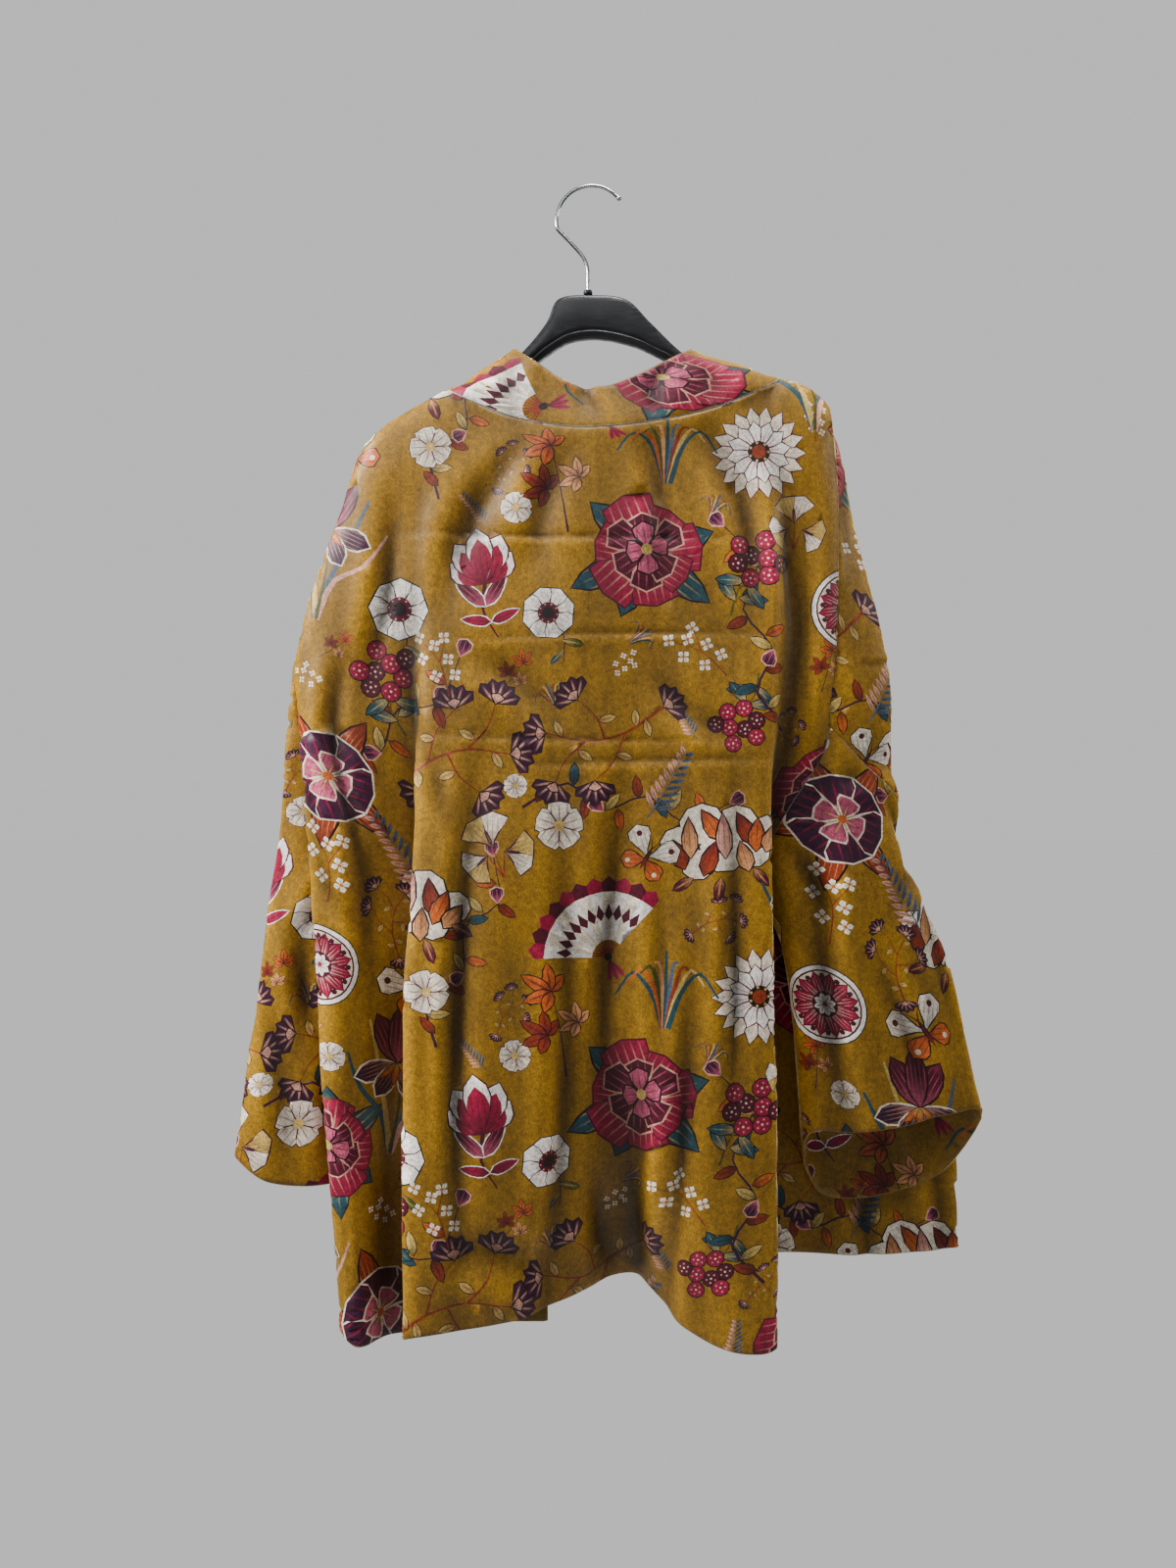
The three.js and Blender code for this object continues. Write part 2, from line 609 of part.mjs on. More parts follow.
const MATERIALS = {
  velvet: { color: 0x9a6f1c, roughness: 0.75, metalness: 0 },
  plastic: { color: 0x141416, roughness: 0.35, metalness: 0 },
  chrome: { color: 0xb9bcc0, roughness: 0.2, metalness: 1 },
};

function mesh(name, geometry, material) {
  const part = new THREE.Mesh(geometry, new THREE.MeshStandardMaterial(MATERIALS[material]));
  part.name = name;
  return part;
}

const jacket = new THREE.Group();
const pieces = clothPieces();
const normals = sharedNormals(pieces);
pieces.forEach((piece) => jacket.add(mesh(piece.name, piece.geometry(normals), "velvet")));
jacket.add(mesh("hanger_body", hangerBody(), "plastic"));
jacket.add(mesh("hanger_hook", hook(), "chrome"));
jacket.add(mesh("hanger_ferrule", ferrule(), "plastic"));

export default jacket;
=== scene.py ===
"""Kimono jacket of printed velvet, hung by its shoulders on a moulded hanger with a wire hook.

The garment is drawn in millimetres by fold lines that run from the shoulders down to the hem. Each cut
piece is cut out of that hung surface, gets the yardage's print in its flat pattern, and becomes a thin shell.
"""
import logging
import math
import random
from dataclasses import dataclass, field, replace
from enum import Enum

import bpy
import numpy as np
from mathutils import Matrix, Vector
from mathutils.geometry import delaunay_2d_cdt


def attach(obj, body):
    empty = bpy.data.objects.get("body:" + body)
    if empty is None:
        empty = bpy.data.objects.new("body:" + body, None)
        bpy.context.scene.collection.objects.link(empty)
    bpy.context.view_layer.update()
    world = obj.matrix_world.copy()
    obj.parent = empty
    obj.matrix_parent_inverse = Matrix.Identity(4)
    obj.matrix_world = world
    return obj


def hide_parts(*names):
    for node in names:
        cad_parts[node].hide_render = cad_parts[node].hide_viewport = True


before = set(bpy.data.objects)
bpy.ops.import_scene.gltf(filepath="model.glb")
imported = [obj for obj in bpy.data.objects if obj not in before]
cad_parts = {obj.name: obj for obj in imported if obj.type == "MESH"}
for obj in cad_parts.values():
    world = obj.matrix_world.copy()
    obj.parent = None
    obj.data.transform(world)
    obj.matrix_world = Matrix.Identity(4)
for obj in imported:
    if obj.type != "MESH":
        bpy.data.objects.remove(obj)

LOG = logging.getLogger("jacket")
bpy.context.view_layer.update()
MM = 0.001

Points = np.ndarray
Pair = tuple[float, float]
Triple = tuple[float, float, float]
Colour = tuple[float, float, float, float]
Material = bpy.types.Material
Socket = bpy.types.NodeSocket

# ---- curves


def curve_at(points: Points, places: Points, closed: bool = False) -> Points:
    """Points on the smooth curve through the given points.

    Args:
        points: Points along the first axis. Any further axes but the last are curves of their own.
        places: Places along the curve, one unit for each span.
        closed: Whether the last point joins the first.

    Returns:
        One point for each place.
    """
    p = np.asarray(points, float)
    if closed:
        padded, spans = np.concatenate([p[-1:], p, p[:2]]), len(p)
    else:
        padded = np.concatenate([2 * p[:1] - p[1:2], p, 2 * p[-1:] - p[-2:-1]])
        spans = len(p) - 1
    places = np.asarray(places, float)
    first = np.clip(places.astype(int), 0, spans - 1)
    f = (places - first).reshape((-1,) + (1,) * (p.ndim - 1))
    a, b, c, d = (padded[first + k] for k in range(4))

    def stride(one: Points, other: Points) -> Points:
        """Square root of the distance between neighbours."""
        return np.sum((other - one) ** 2, -1, keepdims=True) ** 0.25

    s0, s1, s2 = stride(a, b), stride(b, c), stride(c, d)
    s1 = np.where(s1 < 1e-4, 1.0, s1)
    s0, s2 = np.where(s0 < 1e-4, s1, s0), np.where(s2 < 1e-4, s1, s2)
    start = ((b - a) / s0 - (c - a) / (s0 + s1) + (c - b) / s1) * s1
    end = ((c - b) / s1 - (d - b) / (s1 + s2) + (d - c) / s2) * s1
    return b + f * start + f**2 * (3 * (c - b) - 2 * start - end) + f**3 * (2 * (b - c) + start + end)


def sample_spans(points: Points, steps: list[int], closed: bool = False) -> Points:
    """Points on a curve with the given number of steps in each of its spans."""
    places = [0.0] + [span + (k + 1) / count for span, count in enumerate(steps) for k in range(count)]
    return curve_at(points, np.array(places), closed)


def evenly(points: Points, count: int) -> Points:
    """Points at count + 1 even steps of a curve's length."""
    p = np.asarray(points, float)
    places = np.linspace(0, len(p) - 1, 201)
    track = curve_at(p, places)
    lengths = np.concatenate([[0], np.cumsum(np.linalg.norm(np.diff(track, axis=0), axis=1))])
    return curve_at(p, np.interp(np.linspace(0, lengths[-1], count + 1), lengths, places))


# ---- the hung surface


@dataclass(frozen=True)
class FoldLine:
    """A crest or hollow of the cloth, from the shoulder level down to the hem.

    x and y hold its place at the shoulder, tip, underarm, cuff and hem levels, hem its height at the hem, and
    cells the number of cells to the next line. mid is its place between tip and underarm, where it swings.
    """

    cells: int
    x: tuple[float, ...]
    y: tuple[float, ...]
    hem: float
    mid: Pair | None = None


@dataclass(frozen=True)
class TubeLine:
    """A line along a sleeve, by its place at the elbow and at the cuff."""

    cells: int
    elbow: Triple
    cuff: Triple


@dataclass(frozen=True)
class Hang:
    """How the jacket hangs: levels, seams and fold lines, in millimetres."""

    rows: tuple[int, ...] = (3, 4, 10, 6, 3)  # top fold, shoulder, tip, underarm, cuff
    shoulder_cells: int = 15
    fold_cells: int = 4
    fold_radius: float = 13
    neck_fade: float = 6
    sleeve_rows: int = 9
    band_cells: int = 3
    band_drop: float = 2
    levels: tuple[Pair, ...] = ((-263, -242), (-456, -507), (-640, -650), (-915, -890))
    ridge_left: tuple = ((-214, 0, -243), (-188, -1, -222), (-137, 0, -192))
    ridge_right: tuple = ((179, 0, -181), (203, -1, -190), (224, -2, -209))
    neck: tuple = (
        (-137, 0, -192), (-127, -12, -199), (-72, -20, -223), (-4, -27, -234), (104, -21, -217),
        (168, -12, -189), (179, 0, -181),
    )
    shoulder_left: tuple = ((-224, 0, -263), (-241, 0, -340), (-282, 0, -456))
    shoulder_right: tuple = ((228, -4, -242), (231, -7, -312), (226, -9, -470), (221, -8, -507))
    arm_back_left: tuple = ((-282, 0, -456), (-268, 3, -510), (-230, 6, -580), (-172, 10, -640))
    arm_front_left: tuple = ((-282, 0, -456), (-272, 16, -505), (-238, 29, -575), (-172, 10, -640))
    arm_back_right: tuple = ((221, -8, -507), (217, -8, -532), (186, -8, -581), (152, 12, -650))
    arm_front_right: tuple = (
        (221, -8, -507), (258, -5, -545), (292, 8, -583), (252, 33, -628), (152, 12, -650),
    )
    side_left: tuple = ((-172, 10, -640), (-142, 14, -915), (-138, 12, -1058))
    side_right: tuple = ((152, 12, -650), (128, 16, -890), (122, 12, -1010))
    back_left: tuple[FoldLine, ...] = (
        FoldLine(2, (-219, -277, -228, -206, -203), (-6, -6, -8, 2, 4), -1058),  # tuck
        FoldLine(2, (-213, -270, -262, -240, -233), (-12, -13, -17, -19, -16), -1063),  # side roll
        FoldLine(3, (-198, -238, -232, -222, -216), (-15, -19, -27, -33, -31), -1076),  # side swell
        FoldLine(3, (-180, -192, -186, -192, -192), (-17, -16, -10, -4, -2), -1079),  # hollow
        FoldLine(3, (-160, -165, -150, -150, -152), (-17, -14, -5, -2, 0), -1076),  # lap turn
    )
    back_middle: tuple[FoldLine, ...] = (
        FoldLine(3, (-138, -156, -163, -172, -172), (-17, -24, -33, -39, -38), -1066),  # left lap
        FoldLine(3, (-112, -124, -125, -131, -134), (-17, -28, -39, -45, -43), -1058),
        FoldLine(3, (-60, -60, -58, -58, -60), (-23, -28, -37, -41, -31), -1048),  # middle
        FoldLine(3, (0, 14, 22, 34, 44), (-27, -28, -29, -14, 30), -1034),  # hem trough
        FoldLine(3, (55, 66, 70, 74, 80), (-24, -28, -34, -37, -14), -1062),  # box left
        FoldLine(3, (115, 118, 120, 124, 128), (-18, -30, -39, -43, -42), -1075),  # box middle
    )
    back_right: tuple[FoldLine, ...] = (
        FoldLine(4, (176, 163, 164, 168, 167), (-17, -29, -35, -36, -37), -1075),  # right lap
        FoldLine(4, (187, 174, 154, 152, 150), (-16, -15, -14, -12, -10), -1050),  # lap turn
        FoldLine(4, (199, 184, 147, 134, 130), (-15, -9, -1, 4, 1), -1024),  # hollow
        FoldLine(3, (214, 204, 149, 131, 126), (-12, -13, 7, 11, 8), -1014),  # fall
    )
    front_left: tuple[FoldLine, ...] = (
        FoldLine(3, (-219, -274, -190, -184, -180), (7, 12, 40, 45, 42), -1066),  # tuck
        FoldLine(3, (-212, -262, -242, -237, -230), (13, 25, 51, 57, 54), -1072),  # side roll
        FoldLine(3, (-192, -230, -214, -205, -200), (17, 38, 63, 70, 68), -1080),  # side
        FoldLine(3, (-165, -180, -165, -158, -155), (18, 40, 60, 62, 58), -1088),  # panel
        FoldLine(0, (-134, -122, -116, -111, -108), (18, 43, 57, 61, 60), -1095),  # front edge
    )
    front_right: tuple[FoldLine, ...] = (
        FoldLine(3, (232, 254, 178, 180, 182), (4, -7, 31, 37, 34), -1016, (291, 17)),  # tuck
        FoldLine(3, (234, 284, 226, 275, 278), (11, 6, 43, 47, 44), -1022, (279, 31)),  # swing
        FoldLine(3, (227, 274, 268, 355, 361), (17, 28, 49, 53, 52), -1018, (263, 41)),  # side roll
        FoldLine(3, (208, 230, 238, 302, 300), (18, 41, 61, 69, 70), -1024, (233, 49)),  # panel
        FoldLine(0, (178, 168, 172, 178, 176), (18, 47, 61, 69, 70), -1022, (170, 53)),  # front edge
    )
    sleeve_left: tuple[TubeLine, ...] = (
        TubeLine(3, (-312, 7, -735), (-337, 7, -914)),  # overarm
        TubeLine(3, (-293, -5, -735), (-304, -8, -933)),  # back face
        TubeLine(2, (-263, -2, -735), (-262, -6, -938)),
        TubeLine(2, (-228, 11, -735), (-222, 12, -936)),  # behind the body
        TubeLine(3, (-190, 21, -735), (-186, 22, -934)),  # underarm
        TubeLine(3, (-218, 33, -735), (-226, 35, -938)),
        TubeLine(2, (-258, 27, -735), (-272, 27, -940)),  # front wave
        TubeLine(2, (-293, 28, -735), (-312, 31, -930)),
    )
    sleeve_right: tuple[TubeLine, ...] = (
        TubeLine(3, (254, -15, -728), (286, -15, -880)),  # overarm
        TubeLine(4, (221, -14, -728), (244, -13, -886)),  # back face
        TubeLine(3, (190, -4, -728), (207, -4, -888)),  # inner roll
        TubeLine(3, (184, 15, -728), (203, 17, -920)),  # underarm
        TubeLine(2, (214, 30, -728), (226, 33, -960)),
        TubeLine(2, (262, 25, -728), (284, 25, -956)),  # front wave
        TubeLine(1, (312, 33, -728), (344, 35, -935)),
        TubeLine(2, (339, 13, -728), (372, 13, -873)),  # silhouette
    )
    band_left: tuple = ((-72, 0, -154), (-68, -60, -53, -48, -45), (30, 49, 60, 65, 64))
    band_right: tuple = ((93, 0, -154), (99, 105, 110, 116, 114), (30, 54, 68, 77, 78))
    band_back: tuple = ((-72, 0, -154), (-64, -14, -163), (-2, -18, -196), (84, -14, -162), (93, 0, -154))

    def line_rows(self, line: FoldLine, share: float) -> Points:
        """Rows of a fold line at a share of the way across the jacket, from the left."""
        heights = [left + (right - left) * share for left, right in self.levels] + [line.hem]
        points = [[x, y, z] for x, y, z in zip(line.x, line.y, heights)]
        steps = list(self.rows[1:])
        if line.mid:
            points.insert(2, [line.mid[0], line.mid[1], (heights[1] + heights[2]) / 2])
            steps[1:2] = [steps[1] // 2, steps[1] // 2]
        return sample_spans(np.array(points, float), steps)

    def boundary_rows(self, shoulder: tuple, armhole: tuple, side: tuple) -> Points:
        """Rows of a panel's outer boundary: shoulder seam, armhole and side seam."""
        upper, arm = evenly(shoulder, self.rows[1]), evenly(armhole, self.rows[2])
        return np.concatenate([upper, arm[1:], sample_spans(side, list(self.rows[3:]))[1:]])

    def ridge_fullness(self) -> Points:
        """How far the fold over the hanger is formed along a ridge, from its outer end inwards."""
        left = 1 - np.minimum(1, np.arange(self.shoulder_cells + 1) / self.fold_cells)
        return np.sqrt(1 - left**2)

    def panel(self, top: Points, lines: list[Points], cells: list[int], side: int, fullness: Points) -> Points:
        """Grid of a body panel, from its top edge over the hanger's arm down to the hem.

        Args:
            top: Points of the top edge.
            lines: Rows of each fold line, the first one the outer boundary.
            cells: Cells from each line to the next.
            side: -1 for the back and 1 for a front.
            fullness: How far the fold over the hanger is formed at each column.

        Returns:
            Points by row and column.
        """
        rows = sample_spans(np.array(lines), cells).transpose(1, 0, 2)
        folds = []
        for step in range(1, self.rows[0]):
            angle, free = math.pi / 2 * step / (self.rows[0] - 1), step / self.rows[0] / 2
            folded = np.stack([
                top[:, 0] + (rows[0][:, 0] - top[:, 0]) * free / 2,
                np.full(len(top), side * self.fold_radius * math.sin(angle)),
                top[:, 2] - self.fold_radius * (1 - math.cos(angle)),
            ], axis=1)
            hung = top + (rows[0] - top) * free
            folds.append(hung + (folded - hung) * fullness[:, None])
        return np.concatenate([top[None], np.array(folds), rows])

    def back(self) -> Points:
        """Grid of the back."""
        lines = [*self.back_left, *self.back_middle, *self.back_right]
        columns = [self.line_rows(line, (k + 1) / (len(lines) + 1)) for k, line in enumerate(lines)]
        first = self.boundary_rows(self.shoulder_left, self.arm_back_left, self.side_left)
        last = self.boundary_rows(self.shoulder_right, self.arm_back_right, self.side_right)
        cells = [self.shoulder_cells - sum(line.cells for line in self.back_left)]
        cells += [line.cells for line in lines]
        neck_cells = sum(line.cells for line in self.back_middle)
        ridges = evenly(self.ridge_left, self.shoulder_cells), evenly(self.ridge_right, self.shoulder_cells)
        top = np.concatenate([ridges[0], evenly(self.neck, neck_cells)[1:], ridges[1][1:]])
        across = np.abs(2 * np.arange(neck_cells + 1) / neck_cells - 1) ** self.neck_fade
        ridge = self.ridge_fullness()
        fullness = np.concatenate([ridge, across[1:-1], ridge[::-1]])
        return self.panel(top, [first, *columns, last], cells, -1, fullness)

    def front(self, lines: tuple[FoldLine, ...], left: bool) -> Points:
        """Grid of a front, from its outer boundary to the front edge.

        Args:
            lines: Its fold lines, from the side to the front edge.
            left: Whether it is the left front.

        Returns:
            Points by row and column.
        """
        if left:
            outer = self.boundary_rows(self.shoulder_left, self.arm_front_left, self.side_left)
            ridge = evenly(self.ridge_left, self.shoulder_cells)
        else:
            outer = self.boundary_rows(self.shoulder_right, self.arm_front_right, self.side_right)
            ridge = evenly(self.ridge_right, self.shoulder_cells)[::-1]
        columns = [self.line_rows(line, 0 if left else 1) for line in lines]
        cells = [self.shoulder_cells - sum(line.cells for line in lines), *[line.cells for line in lines[:-1]]]
        return self.panel(ridge, [outer, *columns], cells, 1, self.ridge_fullness())

    def sleeve(self, lines: tuple[TubeLine, ...], back: tuple, front: tuple) -> Points:
        """Grid of a sleeve: rings from the armhole down to the cuff.

        Args:
            lines: Lines along the sleeve, once round.
            back: The armhole's back half.
            front: Its front half.

        Returns:
            Points by ring and by line.
        """
        ring = np.concatenate([evenly(back, self.rows[2]), evenly(front, self.rows[2])[::-1][1:-1]])
        cells = [line.cells for line in lines]
        elbow = sample_spans(np.array([line.elbow for line in lines], float), cells, True)[:-1]
        cuff = sample_spans(np.array([line.cuff for line in lines], float), cells, True)[:-1]
        return curve_at(np.array([ring, elbow, cuff]), np.linspace(0, 2, self.sleeve_rows + 1))

    def band(self, front_left: Points, back: Points, front_right: Points) -> Points:
        """Grid of the neck band: rows up the left front, round the neck and down the right front.

        Args:
            front_left: Grid of the left front.
            back: Grid of the back.
            front_right: Grid of the right front.

        Returns:
            Points by place along the band and across it.
        """
        seam_left, seam_right = front_left[:, -1][::-1], front_right[:, -1]
        seam_back = back[0][self.shoulder_cells + 1:-self.shoulder_cells - 1]
        seam = np.concatenate([seam_left, seam_back, seam_right])

        def fall(edge: tuple, rows: Points) -> Points:
            """Free edge down a front, with its way over the hanger."""
            top, xs, ys = edge
            marks = np.cumsum(self.rows)
            points = [[x, y, rows[mark][2] - self.band_drop] for x, y, mark in zip(xs, ys, marks)]
            free = sample_spans(np.array([list(top), *points], float), list(self.rows))
            for row in range(self.rows[0]):
                angle = math.pi / 2 * row / (self.rows[0] - 1)
                free[row] = [
                    top[0] + (points[0][0] - top[0]) * row / self.rows[0] / 4,
                    self.fold_radius * math.sin(angle),
                    top[2] - self.fold_radius * (1 - math.cos(angle)),
                ]
            return free

        free = np.concatenate([
            fall(self.band_left, front_left[:, -1])[::-1],
            evenly(self.band_back, len(seam_back) + 1)[1:-1],
            fall(self.band_right, seam_right),
        ])
        share = np.linspace(0, 1, self.band_cells + 1)[None, :, None]
        return seam[:, None] + (free - seam)[:, None] * share


# ---- dyes and the print


def linear(code: int) -> Triple:
    """Linear colour of a six-digit hexadecimal sRGB code."""
    parts = [(code >> shift & 255) / 255 for shift in (16, 8, 0)]
    return tuple(c / 12.92 if c <= 0.04045 else ((c + 0.055) / 1.055) ** 2.4 for c in parts)


class Dye(Enum):
    """Dyes of the print on the ochre ground."""

    GROUND = 0x8A6412
    WINE = 0x4A0F20
    PLUM = 0x35122A
    CRIMSON = 0x8A1234
    ROSE = 0xB5506A
    BLUSH = 0xC68F7C
    PEACH = 0xC98A58
    RUST = 0x7E2E14
    ORANGE = 0xB5561C
    CREAM = 0xDCCDB8
    WHITE = 0xE9E2D8
    STRAW = 0xB89A52
    TEAL = 0x20424A
    SLATE = 0x4A5563
    OLIVE = 0x4A4A1A
    INK = 0x1C0D10
    SEAM = 0xA2A69E


@dataclass
class Patch:
    """One dyed shape of the print, in the pattern's millimetres.

    stripes is the number of fine lines across it, drawn with the dye line. at, along and half set its own frame:
    where it starts, the vector to its tip, and half its width.
    """

    outline: Points
    dye: Dye
    line: Dye = Dye.INK
    stripes: float = 0.0
    at: Pair = (0.0, 0.0)
    along: Pair = (1.0, 0.0)
    half: float = 1.0


class Drawing:
    """A motif drawn as patches, the later ones on top, about its own middle at a size of about 100 mm."""

    def __init__(self) -> None:
        """Start with nothing drawn."""
        self.patches: list[Patch] = []

    def add(self, outline: list | Points, dye: Dye) -> None:
        """Add a plain patch."""
        self.patches.append(Patch(np.asarray(outline, float), dye))

    def petal(self, x: float, y: float, turn: float, length: float, width: float, dye: Dye,
              line: Dye = Dye.INK, rim: Dye | None = None, stripes: float = 3, full: float = 0.6,
              notch: float = 0.0, sides: int = 4) -> None:
        """Add a petal or leaf.

        Args:
            x: Where it starts, across.
            y: Where it starts, up.
            turn: Direction in degrees from straight right.
            length: Length.
            width: Greatest width.
            dye: Dye of the petal.
            line: Dye of its veins.
            rim: Dye of a thin border, if it has one.
            stripes: Number of veins.
            full: Where along the petal it is widest, from 0 to 1.
            notch: Depth of the dent in its tip, as a share of the length.
            sides: Points along each side.
        """
        power = math.log(0.5) / math.log(full)
        u = np.linspace(0, 1, sides + 2)[1:-1]
        w = np.sin(math.pi * u**power) ** 0.8
        angle = math.radians(turn)
        axis, cross = np.array([math.cos(angle), math.sin(angle)]), np.array([-math.sin(angle), math.cos(angle)])

        def shape(grow: float) -> Points:
            """Outline, grown by a border's width."""
            tip = [[1.0 - notch, 0.0]] if notch else [[1.0, 0.0]]
            side = np.stack([u, w / 2], 1)
            plan = np.concatenate([[[0.0, 0.0]], side, tip, side[::-1] * [1, -1]])
            scaled = plan * [length, width]
            scaled[:, 0] += np.where(plan[:, 0] > 0.5, grow, -grow)
            scaled[:, 1] += np.sign(plan[:, 1]) * grow
            return np.array([x, y]) + scaled[:, :1] * axis + scaled[:, 1:] * cross

        if rim is not None:
            self.add(shape(min(1.3, width * 0.09)), rim)
        self.patches.append(
            Patch(shape(0), dye, line, stripes, (x, y), tuple(axis * length), width / 2)
        )

    def disc(self, x: float, y: float, radius: float, dye: Dye, sides: int = 10, squash: float = 1.0) -> None:
        """Add a round patch."""
        a = np.arange(sides) * 2 * math.pi / sides
        self.add(np.stack([x + radius * np.cos(a), y + radius * squash * np.sin(a)], 1), dye)

    def stem(self, points: list, width: float, dye: Dye) -> None:
        """Add a stem that thins towards its end."""
        line = curve_at(np.array(points, float), np.linspace(0, len(points) - 1, 3 * len(points) - 2))
        ahead = np.gradient(line, axis=0)
        side = np.stack([-ahead[:, 1], ahead[:, 0]], 1) / np.linalg.norm(ahead, axis=1, keepdims=True)
        half = width / 2 * np.linspace(1, 0.35, len(line))[:, None]
        self.add(np.concatenate([line + side * half, (line - side * half)[::-1]]), dye)

    def whorl(self, turns: list[float] | tuple[float, ...], length: float, width: float, *dress: object) -> None:
        """Add like petals from the middle outwards, in the given directions; dress is passed on to petal."""
        for turn in turns:
            self.petal(0, 0, turn, length, width, *dress)

    def beads(self, turns: list[float], reach: float, radius: float, dye: Dye, sides: int,
              x: float = 0.0, y: float = 0.0) -> None:
        """Add small discs in a ring round a place."""
        for a in map(math.radians, turns):
            self.disc(x + reach * math.cos(a), y + reach * math.sin(a), radius, dye, sides)

    def rays(self, turns: list[float], reach: float, width: float, dye: Dye) -> None:
        """Add straight threads from the middle outwards."""
        for a in map(math.radians, turns):
            self.stem([(0, 0), (reach * math.cos(a), reach * math.sin(a))], width, dye)


def ring_of(count: int, start: float = 0.0) -> list[float]:
    """Directions in degrees of count petals round a flower."""
    return [start + 360 * k / count for k in range(count)]


def peony() -> Drawing:
    """Full double flower: uneven notched petals round a golden middle, on dark leaves."""
    d = Drawing()
    for turn, length in ((205, 66), (248, 54), (322, 64), (18, 56), (138, 60)):
        d.petal(0, 0, turn, length, 22, Dye.TEAL, Dye.STRAW, Dye.INK, 3, 0.5)
    for turn, length, width in ((8, 50, 40), (62, 44, 34), (112, 54, 42), (168, 46, 36), (222, 52, 44), (282, 47, 38),
                                (328, 42, 32)):
        d.petal(0, 0, turn, length, width, Dye.CRIMSON, Dye.BLUSH, Dye.WINE, 6, 0.72, 0.1)
    for turn, length in ((35, 36), (98, 32), (150, 38), (214, 31), (270, 35), (318, 29)):
        d.petal(0, 2, turn, length, 25, Dye.WINE, Dye.ROSE, Dye.BLUSH, 4, 0.7, 0.08, 3)
    for turn, length in ((20, 19), (100, 23), (190, 17), (275, 21)):
        d.petal(0, 3, turn, length, 17, Dye.ROSE, Dye.WINE, Dye.INK, 3, 0.68, 0.06, 3)
    d.disc(0, 3, 4.6, Dye.STRAW, 8)
    return d


def lily() -> Drawing:
    """Tall flower with swept, pointed petals over long striped blades."""
    d = Drawing()
    blades = ((-46, 12, Dye.TEAL), (-28, 40, Dye.STRAW), (34, 30, Dye.SLATE), (52, 4, Dye.BLUSH))
    for k, (x, y, dye) in enumerate(blades):
        d.stem([(0, -74), (x * 0.25, -40), (x * 0.7, y - 30), (x, y)], 7 - k % 2, dye)
    d.stem([(0, -74), (4, -30), (0, 4)], 3.4, Dye.OLIVE)
    for turn, length in ((198, 40), (342, 42), (238, 34), (300, 35)):
        d.petal(0, 4, turn, length, 17, Dye.PLUM, Dye.BLUSH, Dye.CREAM, 5, 0.62, 0, 4)
    for turn, length in ((62, 44), (118, 46), (90, 50)):
        d.petal(0, 4, turn, length, 20, Dye.WINE, Dye.ROSE, Dye.INK, 5, 0.5, 0, 4)
    for turn in (222, 262, 318):
        d.petal(0, 4, turn, 20, 6, Dye.ORANGE, Dye.STRAW, Dye.INK, 1, 0.5, 0, 3)
    return d


def vine() -> Drawing:
    """Long winding stem with leaves on both sides and a few closed buds."""
    d = Drawing()
    d.stem([(-96, -22), (-58, 10), (-20, -8), (20, 14), (60, -4), (98, 24)], 2.8, Dye.PLUM)
    leaves = ((-84, -14, 75, 0), (-72, 2, -60, 1), (-52, 9, 100, 2), (-38, 1, -85, 0), (-18, -8, 60, 1),
              (-6, -4, -70, 3), (12, 10, 110, 0), (28, 14, -50, 2), (44, 5, 75, 1), (58, -4, -95, 0), (76, 8, 120, 3))
    dyes = (Dye.RUST, Dye.STRAW, Dye.TEAL, Dye.ORANGE)
    for x, y, turn, dye in leaves:
        d.petal(x, y, turn, 22, 9, dyes[dye], Dye.INK, Dye.INK, 2, 0.45, 0, 3)
    for x, y, turn in ((98, 24, 40), (-20, -9, 150), (60, -3, 35)):
        d.petal(x, y, turn, 17, 13, Dye.PLUM, Dye.ROSE, Dye.BLUSH, 3, 0.62, 0.1, 3)
    return d


def chrysanthemum() -> Drawing:
    """Round flower with two rings of slim pale petals."""
    d = Drawing()
    d.disc(0, 0, 30, Dye.WINE, 16)
    d.whorl(ring_of(18), 46, 13, Dye.CREAM, Dye.BLUSH, Dye.WINE, 2, 0.75, 0, 3)
    d.whorl(ring_of(12, 10), 31, 12, Dye.WHITE, Dye.ROSE, Dye.WINE, 2, 0.72, 0, 3)
    d.disc(0, 0, 11, Dye.INK, 12)
    d.disc(0, 0, 7, Dye.RUST, 9)
    d.beads(ring_of(7), 9, 1.5, Dye.STRAW, 5)
    return d


def anemone() -> Drawing:
    """White cup flower with a dark eye on a bent stem."""
    d = Drawing()
    d.stem([(0, 0), (14, -32), (8, -66)], 2.6, Dye.PLUM)
    d.petal(11, -38, -20, 28, 9, Dye.OLIVE, Dye.STRAW, Dye.INK, 1)
    d.petal(12, -50, 215, 26, 8, Dye.TEAL, Dye.STRAW, None, 1)
    d.whorl(ring_of(8, 8), 36, 25, Dye.WHITE, Dye.BLUSH, Dye.INK, 4, 0.72, 0.06)
    d.disc(0, 0, 14, Dye.WINE, 12)
    d.disc(0, 0, 8, Dye.INK, 9)
    d.beads(ring_of(9, 20), 11.5, 1.2, Dye.BLUSH, 5)
    return d


def camellia() -> Drawing:
    """Broad open flower of dark petals with pale borders, between striped leaves."""
    d = Drawing()
    d.whorl((30, 95, 170, 235, 290), 58, 20, Dye.RUST, Dye.PEACH, Dye.INK, 5, 0.45)
    d.whorl(ring_of(6, 20), 38, 36, Dye.PLUM, Dye.CRIMSON, Dye.CREAM, 5, 0.7, 0.1)
    d.whorl(ring_of(4, 45), 20, 18, Dye.ROSE, Dye.WINE, Dye.CREAM, 3, 0.7, 0.1)
    d.rays(ring_of(8), 12, 1.6, Dye.STRAW)
    d.disc(0, 0, 3.4, Dye.ORANGE, 7)
    return d


